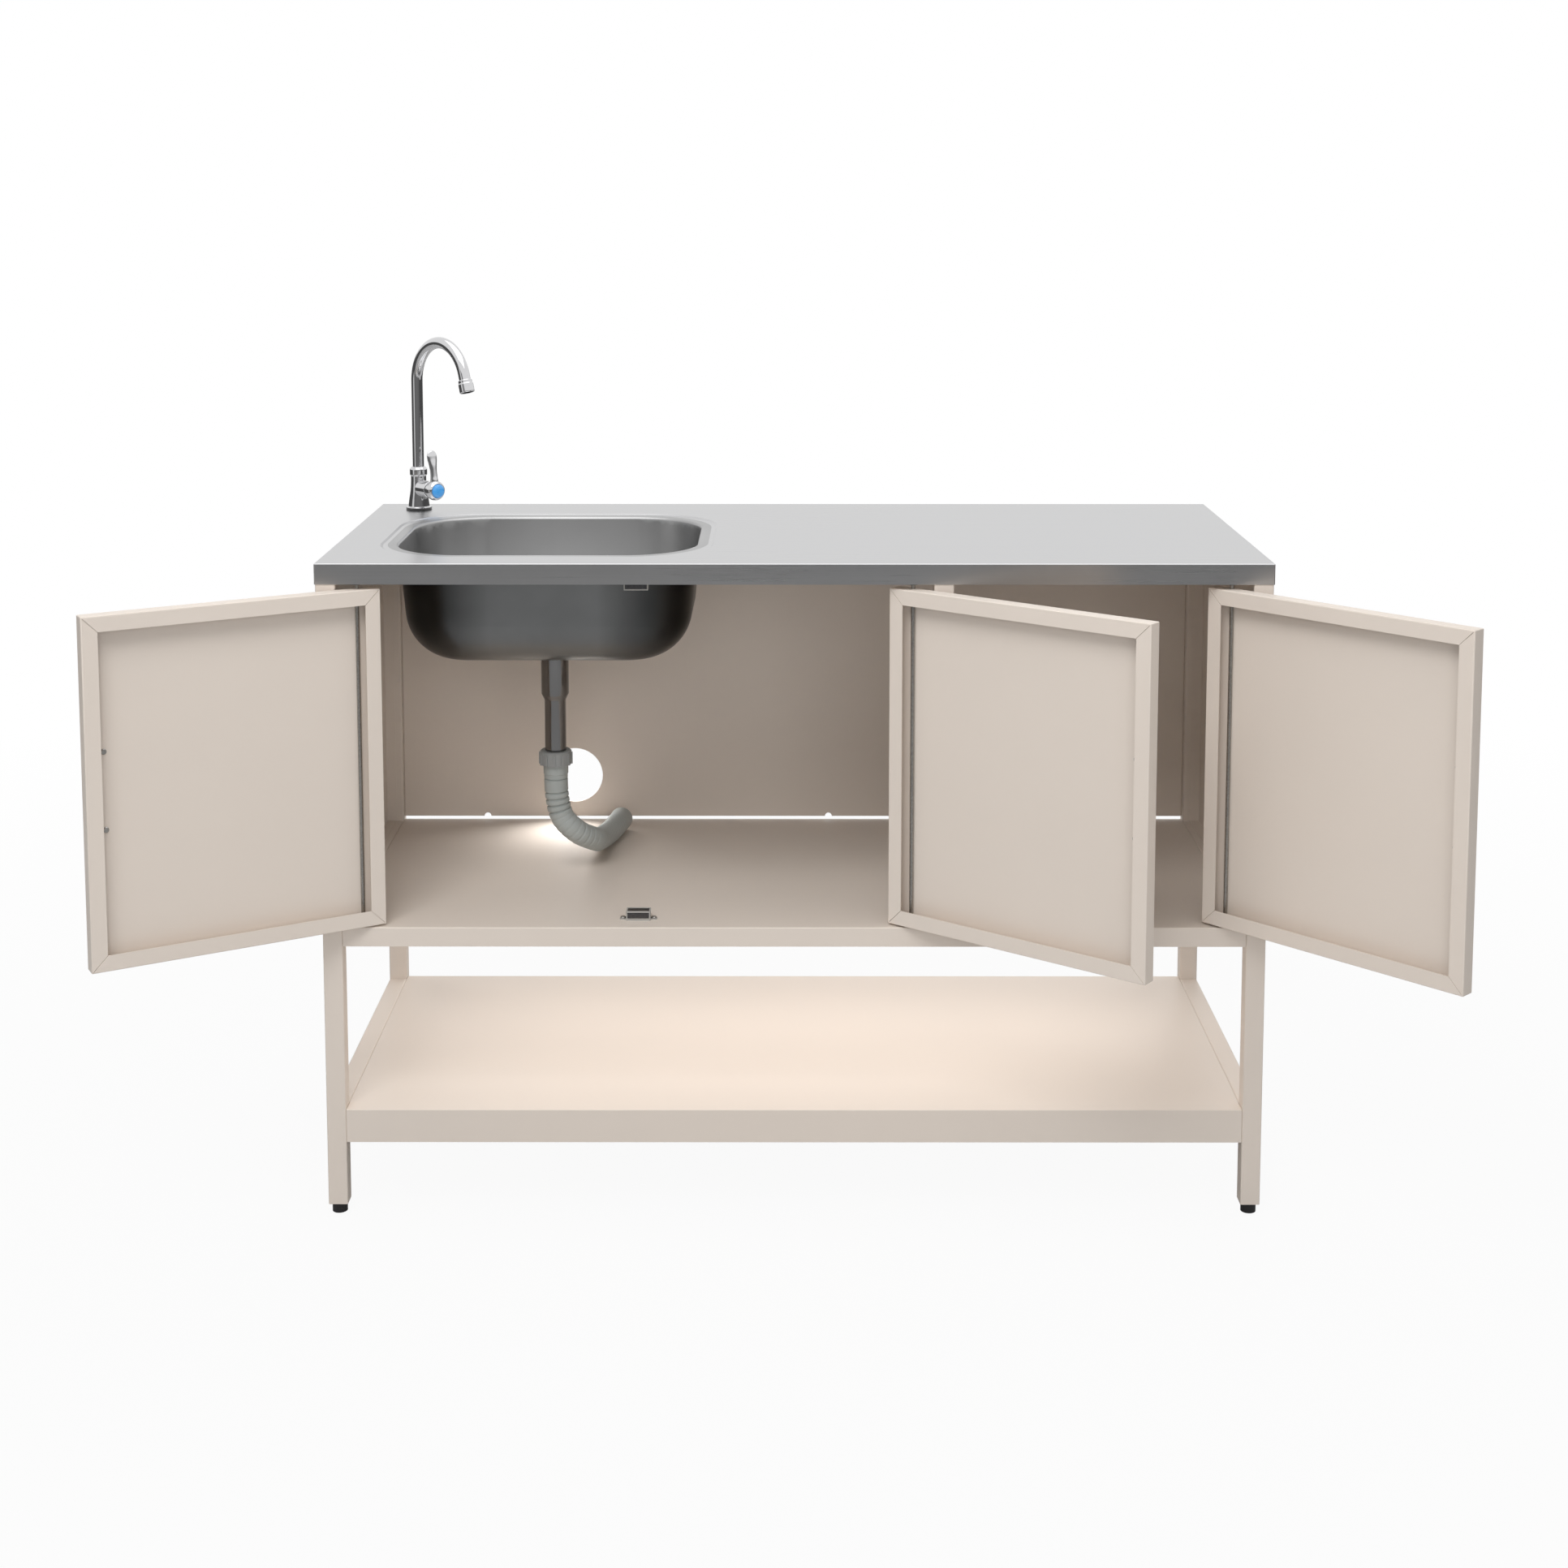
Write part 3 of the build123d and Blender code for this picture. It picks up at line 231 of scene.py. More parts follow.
class Finish(Net):
    """A material with one principled surface; its patterns read Object coordinates."""

    def __init__(self, name, metallic=0.0, **constants):
        self.material = bpy.data.materials.new(name)
        self.material.use_nodes = True
        super().__init__(self.material.node_tree)
        self.tree.nodes.clear()
        self.shader = self.tree.nodes.new("ShaderNodeBsdfPrincipled")
        self.surface = self.tree.nodes.new("ShaderNodeOutputMaterial").inputs[0]
        self.tree.links.new(self.shader.outputs[0], self.surface)
        self.put("Metallic", metallic)
        for socket, value in constants.items():
            self.put(socket.replace("_", " "), value)

    def put(self, socket, value):
        """Sets or links one socket of the surface."""
        if isinstance(value, Wire):
            self.tree.links.new(value.socket, self.shader.inputs[socket])
        else:
            self.shader.inputs[socket].default_value = value

    def place(self, axis=None):
        """Object coordinates, or one of them."""
        coords = self.add("ShaderNodeTexCoord", out="Object")
        if axis is None:
            return coords
        return self.add("ShaderNodeSeparateXYZ", None, {0: coords}, out=axis)

    def noise(self, scale, detail=2.0, stretch=(1, 1, 1)):
        """Even noise, drawn out along the axes whose stretch is small."""
        mapped = self.add("ShaderNodeMapping", None, {"Vector": self.place(), "Scale": stretch})
        return self.add("ShaderNodeTexNoise", None, {"Vector": mapped, "Scale": scale, "Detail": detail})

    def blend(self, share, low, high):
        """Colour between two colours, either of which may be a wire."""
        settings = {"data_type": "RGBA", "clamp_factor": True}
        low, high = (c if isinstance(c, Wire) else (*c, 1.0) for c in (low, high))
        return self.add("ShaderNodeMix", settings, {0: share, 6: low, 7: high}, out=2)

    def from_axis(self, point, direction):
        """Distance from a line through a point."""
        offset = self.add("ShaderNodeVectorMath", {"operation": "SUBTRACT"}, {0: self.place(), 1: point})
        across = self.add("ShaderNodeVectorMath", {"operation": "CROSS_PRODUCT"}, {0: offset, 1: direction})
        return self.add("ShaderNodeVectorMath", {"operation": "LENGTH"}, {0: across}, out="Value")

    def bump(self, height, depth, strength=1.0):
        """Relief of a height pattern, depth in metres."""
        relief = {"Height": height, "Distance": depth, "Strength": strength}
        self.put("Normal", self.add("ShaderNodeBump", None, relief))


def shade(colour, factor):
    """A colour made darker or lighter."""
    return tuple(min(1.0, channel * factor) for channel in colour)


# ---- Frames of the tap: millimetres to the unit's metres ---------------------------------------
TAP = Matrix.Translation(TAP_PLACE) @ Matrix.Rotation(math.radians(TAP_TURN), 4, "Z") @ Matrix.Scale(0.001, 4)
VALVE = TAP @ Matrix.Translation((0, 0, VALVE_HEIGHT)) @ Matrix.Rotation(math.radians(90), 4, "Y")


# ---- Finishes ----------------------------------------------------------------------------------
def powder_coat(name, colour=CREAM):
    """Satin powder coat: fine orange peel, faint mottling."""
    coat = Finish(name)
    mottle = coat.noise(2.6, 3.0)
    peel = coat.noise(900.0, 1.0)
    coat.put("Base Color", coat.blend(mottle.ramp((0.3, 0.0), (0.7, 1.0)), shade(colour, 0.965), colour))
    coat.put("Roughness", 0.36 + 0.10 * mottle + 0.06 * peel)
    coat.bump(peel, 0.00006, 0.5)
    return coat.material


def brushed_worktop():
    """Long grain along the worktop, with soft clouds from the press."""
    steel = Finish("worktop_brushed", metallic=1.0)
    grain = steel.noise(1.0, 3.0, (5.0, 900.0, 900.0))
    wide_grain = steel.noise(1.0, 2.0, (2.0, 160.0, 160.0))
    cloud = steel.noise(3.0, 2.0)
    tone = grain * 0.5 + wide_grain * 0.2 + cloud * 0.3
    steel.put("Base Color", steel.blend(tone, shade(STEEL, 0.90), shade(STEEL, 1.10)))
    steel.put("Roughness", 0.22 + 0.08 * grain + 0.06 * cloud)
    steel.bump(grain, 0.00002, 0.35)
    return steel.material


def drawn_bowl():
    """Satin of a deep-drawn bowl: fine level lines, clouds, a painted highlight in its middle, and painted
    shade that darkens the outer side and blackens its ends.
    """
    steel = Finish("bowl_satin", metallic=1.0)
    inside = steel.add("ShaderNodeAttribute", {"attribute_name": "inside"}, out="Fac")
    lines = steel.noise(1.0, 3.0, (18.0, 18.0, 1400.0))
    cloud = steel.noise(7.0, 3.0)
    height = (steel.place("Z") - BOWL_BOTTOM) / BOWL_DEPTH
    # the clouds turn slightly darker towards the bottom and more towards the rim
    drawn = height.ramp((0.0, 0.9), (0.4, 1.0), (1.0, 0.8))
    # painted highlight: a paler round in the middle of the bowl's inside
    outward = steel.from_axis((*BOWL_MIDDLE, 0.0), (0.0, 0.0, 1.0)) / BOWL_PAINTED_HIGHLIGHT
    middle = outward.ramp((0.0, 1.0), (0.35, 0.85), (0.85, 0.0))
    inner = steel.blend(cloud * drawn, shade(BOWL_INSIDE, 0.82), shade(BOWL_INSIDE, 1.10))
    inner = steel.blend(middle, inner, shade(BOWL_INSIDE, 1.75))
    # painted shade on the outer side: darkest at the ends, with a painted reflection that makes its middle
    # lighter
    along = (steel.place("X") - BOWL_MIDDLE[0]) / BOWL_LENGTH + 0.5
    ends = along.ramp((0.10, 0.02), (0.36, 1.0), (0.64, 1.0), (0.90, 0.04))
    outer = steel.blend(cloud * 0.5 + 0.5 * ends, (0.0, 0.0, 0.0), shade(BOWL_OUTSIDE_PAINTED_SHADE, 2.3))
    outer = steel.blend(ends, shade(BOWL_OUTSIDE_PAINTED_SHADE, 0.08), outer)
    steel.put("Base Color", steel.blend(inside, outer, inner))
    steel.put("Roughness", 0.26 + 0.08 * lines + 0.06 * cloud)
    steel.bump(lines, 0.00002, 0.3)
    return steel.material


def plated(name, colour, roughness, seam=None):
    """Polished plating with a trace of water marks, and painted shade up to a height over the worktop if one
    is given.
    """
    metal = Finish(name, metallic=1.0)
    marks = metal.noise(140.0, 3.0)
    tone = metal.blend(marks, shade(colour, 0.96), colour)
    if seam:
        # painted shade: the plating turns dark below the given height over the worktop
        above = (metal.place("Z") - TAP_PLACE[2]) / seam
        tone = metal.blend(above.ramp((0.0, 0.0), (0.75, 0.1), (1.0, 1.0)), shade(colour, 0.12), tone)
    metal.put("Base Color", tone)
    metal.put("Roughness", roughness + 0.02 * marks)
    return metal.material


def zinc(name, colour=(0.40, 0.39, 0.37)):
    """Dull zinc plating with fine spangle."""
    metal = Finish(name, metallic=1.0)
    spangle = metal.add("ShaderNodeTexVoronoi", None, {"Vector": metal.place(), "Scale": 700.0}, out="Color")
    grey = metal.add("ShaderNodeSeparateColor", None, {0: spangle})
    metal.put("Base Color", metal.blend(grey, shade(colour, 0.85), shade(colour, 1.15)))
    metal.put("Roughness", 0.34 + 0.12 * grey)
    return metal.material


def moulded(name, colour, roughness=0.5, grain=0.00004):
    """Moulded plastic: fine texture and slight unevenness of tone."""
    plastic = Finish(name)
    texture = plastic.noise(1500.0, 1.0)
    cloud = plastic.noise(25.0, 2.0)
    plastic.put("Base Color", plastic.blend(cloud, shade(colour, 0.93), shade(colour, 1.05)))
    plastic.put("Roughness", roughness + 0.10 * cloud)
    plastic.bump(texture, grain, 0.5)
    return plastic.material


def valve_cap():
    """Glossy enamel of the valve's cap: a dark rim, a small dark spot at its middle, and a painted glow."""
    enamel = Finish("cap_enamel", Roughness=0.12, Coat_Weight=0.6)
    radius = enamel.from_axis(VALVE.translation, VALVE.to_3x3() @ Vector((0, 0, 1))) / CAP_SCALE
    ring = radius.ramp((0.0, 0.8), (0.07, 0.8), (0.12, 0.0), (0.84, 0.0), (0.95, 1.0), (1.0, 1.0))
    blue = enamel.blend(ring, CAP_BLUE, CAP_RING)
    enamel.put("Base Color", blue)
    # painted glow: the cap's blue also gives off light though it is no lamp
    enamel.put("Emission Color", blue)
    enamel.put("Emission Strength", CAP_PAINTED_GLOW)
    return enamel.material


def threaded_brass():
    """Bare brass whose thread shows as fine level rings, with painted shade in the grooves."""
    brass = Finish("thread_brass", metallic=1.0)
    rings = (brass.place("Z") * (2 * math.pi / 0.0018)).sine() * 0.5 + 0.5
    # painted shade: the thread's grooves are darker than its crests
    brass.put("Base Color", brass.blend(rings, (0.30, 0.20, 0.07), (0.62, 0.46, 0.20)))
    brass.put("Roughness", 0.28 + 0.10 * rings)
    brass.bump(rings, 0.0006, 0.8)
    return brass.material


FINISHES = {
    "frame_paint": powder_coat("frame_coat"),
    "panel_paint": powder_coat("panel_coat"),
    "worktop_steel": brushed_worktop(),
    "bowl_steel": drawn_bowl(),
    "foot_plastic": moulded("foot_black", BLACK_PLASTIC, 0.45),
    "bush_plastic": moulded("bush_dark", (0.03, 0.03, 0.03), 0.5),
    "rod_zinc": zinc("rod_zinc"),
    "handle_chrome": plated("handle_satin", (0.55, 0.55, 0.55), 0.22),
    "screw_zinc": zinc("screw_zinc", (0.45, 0.44, 0.42)),
    "catch_plastic": moulded("catch_grey", (0.42, 0.41, 0.39), 0.4),
    "catch_steel": zinc("catch_jaw", (0.12, 0.12, 0.125)),
    # painted shade: the waste's chrome is given a dark colour for the shade round it under the bowl
    "waste_chrome": plated("waste_plating_painted_shade", (0.235, 0.235, 0.235), 0.12),
    "seal_rubber": moulded("seal_black", (0.02, 0.02, 0.02), 0.65),
    "nut_plastic": moulded("nut_grey", NUT_PLASTIC, 0.45),
    "hose_plastic": moulded("hose_grey", GREY_PLASTIC, 0.42),
    # the tap's plating carries painted shade round its foot
    "tap_chrome": plated("tap_plating", CHROME, 0.05, seam=FOOT_PAINTED_SHADE),
    "cap_blue": valve_cap(),
    "tap_brass": threaded_brass(),
}


# ---- Studio ------------------------------------------------------------------------------------
def photo_camera():
    """Camera fitted to the photograph's edges."""
    data = bpy.data.cameras.new("photo_camera")
    data.sensor_width = SENSOR
    data.lens = SENSOR * FOCAL_PIXELS / PHOTO_SIDE
    data.shift_y = (CENTRE_ROW - PHOTO_SIDE / 2) / PHOTO_SIDE
    camera = bpy.data.objects.new("photo_camera", data)
    camera.location = CAMERA_PLACE
    camera.rotation_euler = (math.radians(90 - CAMERA_PITCH), 0.0, math.radians(CAMERA_YAW))
    bpy.context.scene.collection.objects.link(camera)
    bpy.context.scene.camera = camera


def lamp(name, place, target, size, power, mirrored, spread):
    """Soft lamp, width by height, that points at a target, and that metal shows or not."""
    data = bpy.data.lights.new(name, "AREA")
    data.shape = "RECTANGLE"
    data.size, data.size_y = size
    data.energy = power
    data.spread = math.radians(spread)
    light = bpy.data.objects.new(name, data)
    light.location = place
    light.visible_glossy = mirrored
    light.visible_camera = False
    light.rotation_euler = (Vector(target) - Vector(place)).to_track_quat("-Z", "Y").to_euler()
    bpy.context.scene.collection.objects.link(light)


def light_path(net, *rays):
    """1 for the named kinds of ray, else 0."""
    node = net.tree.nodes.new("ShaderNodeLightPath")
    first, *others = (Wire(net, node.outputs[f"Is {ray} Ray"]) for ray in rays)
    for other in others:
        first = first.most(other)
    return first


def studio_world():
    """White to the camera; metal sees a white tent over a dim ring, with one upright pale streak."""
    world = bpy.data.worlds.new("studio")
    world.use_nodes = True
    bpy.context.scene.world = world
    world.node_tree.nodes.clear()
    net = Net(world.node_tree)
    heading = net.add("ShaderNodeTexCoord", out="Generated")
    right, back, up = (net.add("ShaderNodeSeparateXYZ", None, {0: heading}, out=axis) for axis in "XYZ")
    level = (back * 0.5 + 0.5).ramp((0.0, 0.17), (0.12, 0.15), (0.25, 0.08), (0.70, 0.08), (1.0, 0.10))
    tent = (up + 0.12 * back).ramp((0.08, 0.0), (0.17, 0.93))
    streak = (right * -0.87 + back * -0.49).ramp((0.962, 0.0), (0.982, 0.75))
    mirrored = level.most(tent).most(streak)
    soft = (up * 0.5 + 0.5).ramp((0.0, 0.40), (0.5, 0.40), (0.66, 0.36), (1.0, 0.30))
    camera = light_path(net, "Camera")
    mirror = light_path(net, "Glossy", "Transmission")
    strength = camera + mirror * mirrored + (1 - camera.most(mirror)) * soft
    background = net.add("ShaderNodeBackground", None, {"Color": (1, 1, 1, 1), "Strength": strength})
    net.add("ShaderNodeOutputWorld", None, {"Surface": background})


def studio_floor():
    """Round pale floor that keeps the unit's soft shadow and turns white towards its rim."""
    mesh = bpy.data.meshes.new("studio_floor")
    turns = [2 * math.pi * step / FLOOR_SIDES for step in range(FLOOR_SIDES)]
    rim = [(FLOOR_RADIUS * math.cos(turn), FLOOR_RADIUS * math.sin(turn), 0.0) for turn in turns]
    mesh.from_pydata(rim, [], [tuple(range(FLOOR_SIDES))])
    floor = bpy.data.objects.new("studio_floor", mesh)
    bpy.context.scene.collection.objects.link(floor)
    finish = Finish("floor_pale", Roughness=0.9)
    cloud = finish.noise(0.8, 2.0)
    finish.put("Base Color", finish.blend(cloud, (0.50, 0.50, 0.50), (0.54, 0.54, 0.54)))
    outward = finish.from_axis((0.0, 0.0, 0.0), (0.0, 0.0, 1.0)) / FLOOR_RADIUS
    white = outward.ramp((0.32, 0.94), (0.9, 1.0)) * light_path(finish, "Camera", "Transmission")
    glow = finish.add("ShaderNodeEmission", None, {"Color": (1, 1, 1, 1), "Strength": 1.0})
    plain = Wire(finish, finish.shader.outputs[0])
    mixed = finish.add("ShaderNodeMixShader", None, {0: white, 1: plain, 2: glow})
    finish.tree.links.new(mixed.socket, finish.surface)
    mesh.materials.append(finish.material)


# ---- Pieces ------------------------------------------------------------------------------------
def body_of(node):
    """Name of the rigid body that holds a node."""
    return next(body for body, nodes in frame["record"]["behaviour"]["bodies"].items() if node in nodes)


def smooth_by_angle(mesh, degrees):
    """Smooth shading that breaks at edges sharper than an angle."""
    mesh.shade_smooth()
    work = bmesh.new()
    work.from_mesh(mesh)
    for edge in work.edges:
        edge.smooth = len(edge.link_faces) == 2 and edge.calc_face_angle() < math.radians(degrees)
    work.to_mesh(mesh)
    work.free()


def smooth_piece(node, slot):
    """Merged, smoothly shaded copy of a node that stands for it."""
    source = frame["nodes"][node]
    mesh = source.data.copy()
    work = bmesh.new()
    work.from_mesh(mesh)
    bmesh.ops.remove_doubles(work, verts=work.verts, dist=1e-6)
    work.to_mesh(mesh)
    work.free()
    smooth_by_angle(mesh, CAD_SMOOTH)
    mesh.materials.clear()
    mesh.materials.append(FINISHES[slot])
    piece = bpy.data.objects.new(f"{node}_smooth", mesh)
    bpy.context.scene.collection.objects.link(piece)
    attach(piece, body_of(node))
    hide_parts(node)
    return piece


def mark_bowl_inside(piece):
    """Marks with 1 the faces of the bowl that look at the point over its middle."""
    mark = piece.data.attributes.new("inside", "FLOAT", "FACE")
    for polygon, entry in zip(piece.data.polygons, mark.data):
        entry.value = float(polygon.normal.dot(Vector(BOWL_EYE) - polygon.center) > 0)


def round_edges(piece, width):
    """Small rounding of a piece's sharp edges."""
    modifier = piece.modifiers.new("rounding", "BEVEL")
    modifier.width = width
    modifier.segments = 3
    modifier.limit_method = "ANGLE"
    modifier.angle_limit = math.radians(40)


def dress_node(node, slot):
    """Gives a node its finish and leaves its shape alone."""
    source = frame["nodes"][node]
    source.data.materials.clear()
    source.data.materials.append(FINISHES[slot])


def ribbed_hose():
    """Ribbed hose along its route, a mesh made by a node tree from the route's curve."""
    curve = bpy.data.curves.new("drain_route", "CURVE")
    curve.dimensions = "3D"
    spline = curve.splines.new("NURBS")
    spline.points.add(len(HOSE_ROUTE) - 1)
    for point, place in zip(spline.points, HOSE_ROUTE):
        point.co = (*place, 1.0)
    spline.order_u = 3
    spline.use_endpoint_u = True
    spline.resolution_u = ROUTE_STEPS
    route = bpy.data.objects.new("drain_route", curve)
    bpy.context.scene.collection.objects.link(route)
    evaluated = route.evaluated_get(bpy.context.evaluated_depsgraph_get())
    line = bpy.data.meshes.new_from_object(evaluated)
    path = [tuple(vertex.co) for vertex in line.vertices]
    modifier = route.modifiers.new("ribs", "NODES")
    modifier.node_group = hose_tree()
    bpy.context.view_layer.update()
    evaluated = route.evaluated_get(bpy.context.evaluated_depsgraph_get())
    mesh = bpy.data.meshes.new_from_object(evaluated)
    bpy.data.objects.remove(route)
    close_ends(mesh, (path[0], path[-1]))
    smooth_by_angle(mesh, HOSE_SMOOTH)
    hose = bpy.data.objects.new("ribbed_drain_hose", mesh)
    bpy.context.scene.collection.objects.link(hose)
    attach(hose, "frame")
    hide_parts("drain_hose", "hose_cuff")


def close_ends(mesh, ends):
    """Joins the outer and inner wall at each end of a tube."""
    work = bmesh.new()
    work.from_mesh(mesh)
    open_edges = [edge for edge in work.edges if edge.is_boundary]
    for end in ends:
        ring = [edge for edge in open_edges if (edge.verts[0].co - Vector(end)).length < 1.5 * HOSE_RADIUS]
        bmesh.ops.bridge_loops(work, edges=ring)
    work.to_mesh(mesh)
    work.free()


def hose_tree():
    """Node tree that gives a curve a ribbed wall with open ends."""
    tree = bpy.data.node_groups.new("ribbed_wall", "GeometryNodeTree")
    tree.interface.new_socket("Geometry", in_out="INPUT", socket_type="NodeSocketGeometry")
    tree.interface.new_socket("Geometry", in_out="OUTPUT", socket_type="NodeSocketGeometry")
    sizes = {"Radius": HOSE_RADIUS, "Bore": HOSE_BORE, "Groove": HOSE_GROOVE, "Seam": HOSE_SEAM,
             "Seam Depth": HOSE_SEAM_DEPTH, "Plain": HOSE_PLAIN, "Pitch": RIB_PITCH, "Cuff": CUFF_LENGTH,
             "Deep": DEEP_RIBS, "Faint": SHALLOW_SHARE}
    for name, value in sizes.items():
        tree.interface.new_socket(name, in_out="INPUT", socket_type="NodeSocketFloat").default_value = value
    net = Net(tree)
    group = tree.nodes.new("NodeGroupInput")
    given = {name: Wire(net, group.outputs[name]) for name in ("Geometry", *sizes)}
    line = net.add("GeometryNodeResampleCurve", {"mode": "EVALUATED"}, {"Curve": given["Geometry"]})
    along = net.add("GeometryNodeSplineParameter", out="Length")
    whole = net.add("GeometryNodeSplineLength", out="Length")
    ribbed = (along > given["Plain"]) * (along < whole - given["Cuff"])
    wave = ((along - given["Plain"]) * (2 * math.pi) / given["Pitch"]).sine()
    dip = wave.ramp((0.0, 0.0), (0.35, 0.0), (0.8, 1.0), (1.0, 1.0))
    strength = given["Faint"] + (1 - given["Faint"]) * (along < given["Deep"])
    seam = given["Seam Depth"] * (along < given["Seam"])
    outside = curve_wall(net, line, given["Radius"] - given["Groove"] * ribbed * dip * strength - seam)
    inside = curve_wall(net, line, given["Bore"])
    turned = net.add("GeometryNodeFlipFaces", None, {"Mesh": inside})
    joined = net.tree.nodes.new("GeometryNodeJoinGeometry")
    tree.links.new(outside.socket, joined.inputs[0])
    tree.links.new(turned.socket, joined.inputs[0])
    real = net.add("GeometryNodeRealizeInstances", None, {0: Wire(net, joined.outputs[0])})
    finish = {"Geometry": real, "Material": FINISHES["hose_plastic"]}
    dressed = net.add("GeometryNodeSetMaterial", None, finish)
    output = tree.nodes.new("NodeGroupOutput")
    tree.links.new(dressed.socket, output.inputs[0])
    return tree


def curve_wall(net, line, radius):
    """Tube round a curve whose radius may change along it."""
    circle = net.add("GeometryNodeCurvePrimitiveCircle", None, {"Resolution": HOSE_SIDES, "Radius": 1.0})
    return net.add("GeometryNodeCurveToMesh", None, {"Curve": line, "Profile Curve": circle, "Scale": radius})


# ---- Tap ---------------------------------------------------------------------------------------
def softened(corners, edge, closed=True):
    """Profile whose corners are cut by small curves with a short straight lead on each side."""
    points = []
    for place, corner in enumerate(corners):
        here = Vector(corner)
        before, after = Vector(corners[place - 1]), Vector(corners[(place + 1) % len(corners)])
        if not closed and place in (0, len(corners) - 1):
            points.append(tuple(here))
            continue
        lead_in, lead_out = ((end - here) * min(0.4, edge / (end - here).length) for end in (before, after))
        points.append(tuple(here + lead_in * CORNER_LEAD))
        for step in range(CORNER_STEPS + 1):
            t = step / CORNER_STEPS
            points.append(tuple(here + lead_in * (1 - t) ** 2 + lead_out * t ** 2))
        points.append(tuple(here + lead_out * CORNER_LEAD))
    return points


def ring(frame_of_ring, radius, height=0.0):
    """Level circle of points about a frame's Z."""
    turns = (2 * math.pi * step / TURNED_SIDES for step in range(TURNED_SIDES))
    return [frame_of_ring @ Vector((radius * math.cos(turn), radius * math.sin(turn), height))
            for turn in turns]


def turned_rings(profile, frame_of_piece, edge, closed=True):
    """Rings of a profile of radii and heights that is turned about the frame's Z."""
    return [ring(frame_of_piece, radius, height) for radius, height in softened(profile, edge, closed)]


def skinned(work, rings, closed=True):
    """Adds the skin between following rings to a mesh, and from the last to the first one."""
    rows = [[work.verts.new(place) for place in ring] for ring in rings]
    following = rows[1:] + rows[:1] if closed else rows[1:]
    for row, above in zip(rows, following):
        for place in range(len(row)):
            beside = (place + 1) % len(row)
            work.faces.new((row[place], row[beside], above[beside], above[place]))
    if not closed:
        work.faces.new(rows[0])
        work.faces.new(rows[-1])


def made_piece(name, body, slot, nodes, shells):
    """Piece of one or more closed shells, each a list of rings and whether they close on themselves."""
    work = bmesh.new()
    for rings, closed in shells:
        skinned(work, rings, closed)
    bmesh.ops.remove_doubles(work, verts=work.verts, dist=1e-7)
    bmesh.ops.recalc_face_normals(work, faces=work.faces)
    mesh = bpy.data.meshes.new(name)
    work.to_mesh(mesh)
    work.free()
    smooth_by_angle(mesh, TAP_SMOOTH)
    mesh.materials.append(FINISHES[slot])
    piece = bpy.data.objects.new(name, mesh)
    bpy.context.scene.collection.objects.link(piece)
    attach(piece, body)
    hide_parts(*nodes)


def spout_station(along):
    """Middle and heading, in degrees from upright, of the spout at a length from the worktop."""
    arch = math.radians(SPOUT_TURN) * SPOUT_ARCH
    turn = math.radians(max(0.0, min(1.0, (along - SPOUT_RISE) / arch)) * SPOUT_TURN)
    spare = max(0.0, along - SPOUT_RISE - arch)
    height = min(along, SPOUT_RISE) + SPOUT_ARCH * math.sin(turn)
    middle = Vector((SPOUT_ARCH * (1 - math.cos(turn)), 0, height))
    return middle + spare * Vector((math.sin(turn), 0, math.cos(turn))), math.degrees(turn)


def spout_frame(along):
    """Frame whose Z runs along the spout at a length from the worktop."""
    middle, heading = spout_station(along)
    return TAP @ Matrix.Translation(middle) @ Matrix.Rotation(math.radians(heading), 4, "Y")


def spout_rings():
    """Outer wall from the foot to the outlet, and the bore back to the foot."""
    whole = SPOUT_RISE + math.radians(SPOUT_TURN) * SPOUT_ARCH + SPOUT_END
    foot = SPOUT_FOOT[0][0]
    arch = whole - SPOUT_END - SPOUT_RISE
    bend = [SPOUT_RISE + arch * step / SPOUT_STEPS for step in range(SPOUT_STEPS + 1)]
    stations = list(SPOUT_FOOT) + [(along, SPOUT_RADIUS) for along in (*SPOUT_STRAIGHT, *bend, whole)]
    stations += [(along, SPOUT_BORE) for along in (whole, *reversed(bend), foot)]
    return [ring(spout_frame(along), radius) for along, radius in stations], whole


def eased(rows, place):
    """Values between the rows at a place from 0 to the last row, on a smooth curve through them."""
    low = max(0, min(len(rows) - 2, int(place)))
    t = place - low
    near = [rows[max(0, min(len(rows) - 1, low + shift))] for shift in (-1, 0, 1, 2)]
    return [b + 0.5 * ((c - a) * t + (2 * a - 5 * b + 4 * c - d) * t ** 2 + (3 * b - 3 * c + d - a) * t ** 3)
            for a, b, c, d in zip(*near)]


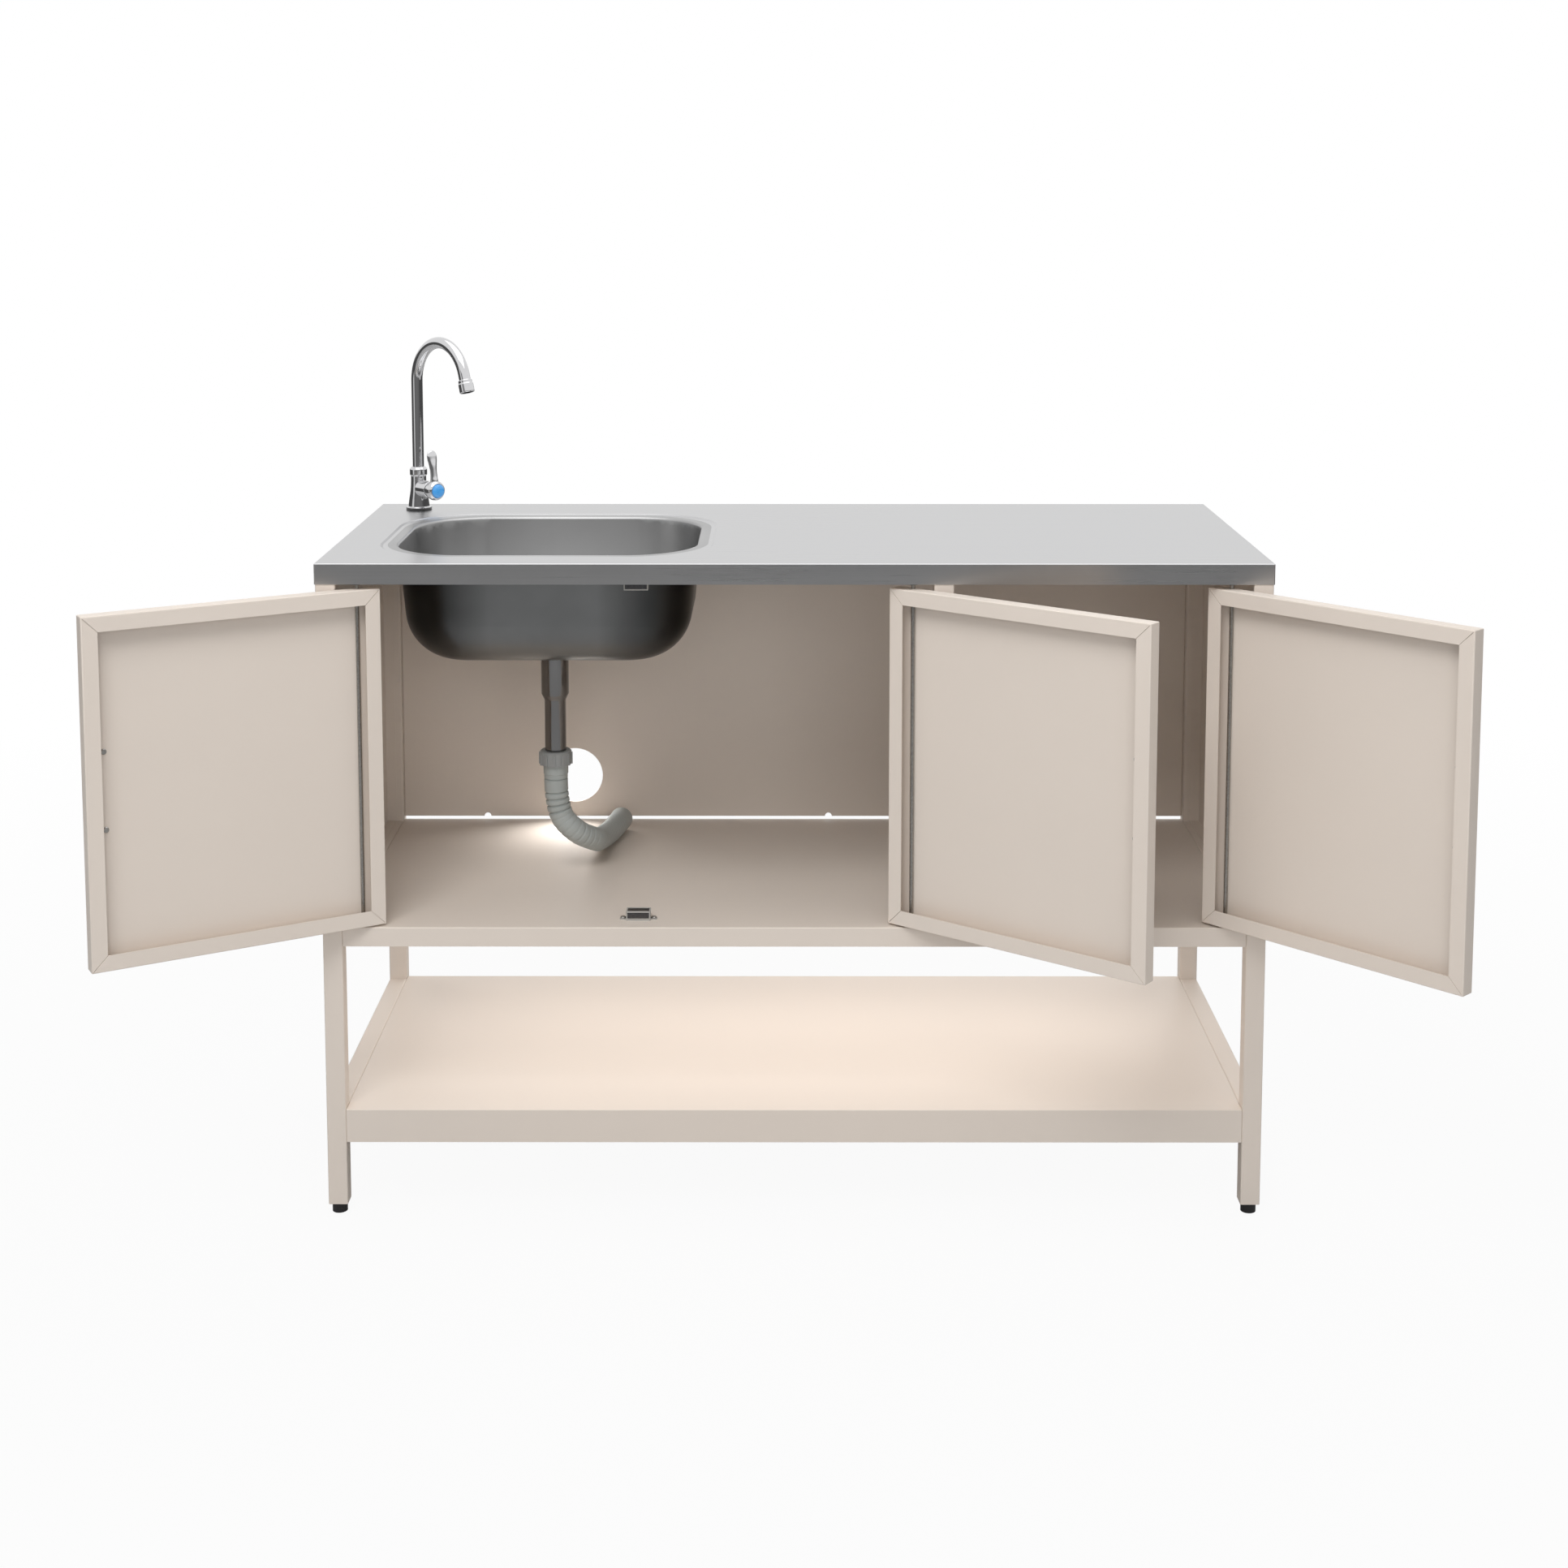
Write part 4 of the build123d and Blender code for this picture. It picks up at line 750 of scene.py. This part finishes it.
def paddle_rings():
    """Oval sections of the lever from its root in the hub to its tip."""
    rings = []
    for step in range(LEVER_STEPS * (len(LEVER_SECTIONS) - 1) + 1):
        share, lean, wide, thick = eased(LEVER_SECTIONS, step / LEVER_STEPS)
        middle = Vector((LEVER_MIDDLE - lean, 0, VALVE_HEIGHT + share * LEVER_HEIGHT))
        oval = [middle + Vector((thick / 2 * math.cos(turn), wide / 2 * math.sin(turn), 0))
                for turn in (2 * math.pi * side / LEVER_SIDES for side in range(LEVER_SIDES))]
        rings.append([TAP @ place for place in oval])
    return rings


def tap_pieces():
    """Body with its boss, cap nut, spout, nozzle, lever and cap."""
    body = turned_rings(BODY_PROFILE, TAP, 0.8)
    boss = turned_rings(BOSS_PROFILE, VALVE, 1.0)
    made_piece("tap_body_turned", "frame", "tap_chrome", ["tap_body"], [(body, True), (boss, True)])
    nut = turned_rings(NUT_PROFILE, TAP, 0.9)
    made_piece("spout_cap_nut", "frame", "tap_chrome", ["spout_nut"], [(nut, True)])
    tube, whole = spout_rings()
    made_piece("swan_neck", "spout", "tap_chrome", ["spout"], [(tube, True)])
    nozzle = turned_rings(AERATOR_PROFILE, spout_frame(whole), 0.6)
    made_piece("spout_nozzle", "spout", "tap_chrome", ["aerator"], [(nozzle, True)])
    hub = turned_rings(HUB_PROFILE, VALVE, 1.6)
    made_piece("lever_paddle", "lever", "tap_chrome", ["tap_lever"], [(hub, True), (paddle_rings(), False)])
    cap = turned_rings(CAP_PROFILE, VALVE, 1.2, closed=False)
    made_piece("valve_cap", "lever", "cap_blue", ["tap_cap"], [(cap, False)])


# ---- Build -------------------------------------------------------------------------------------
REMADE_NODES = {"drain_hose", "hose_cuff", "tap_body", "spout_nut", "spout", "aerator", "tap_lever",
                "tap_cap"}
SMOOTH_NODES = {"sink_bowl", "tailpiece", "waste_body", "compression_nut", "hose_socket", "feet", "left_door",
                "middle_door", "right_door"}
SMOOTH_NODES |= {node for node in frame["nodes"] if node.endswith(("_handle", "_screws", "_rod", "_leg"))}

photo_camera()
studio_world()
studio_floor()
for lamp_facts in LAMPS:
    lamp(*lamp_facts)
ribbed_hose()
tap_pieces()

for entry in frame["record"]["subparts"]:
    node, slot = entry["node"], entry["material_slot"]
    if node in REMADE_NODES:
        continue
    if node in SMOOTH_NODES:
        piece = smooth_piece(node, slot)
        if node == "sink_bowl":
            mark_bowl_inside(piece)
        if node == "feet":
            round_edges(piece, 0.0012)
    else:
        dress_node(node, slot)

bpy.context.scene.view_settings.view_transform = "Standard"
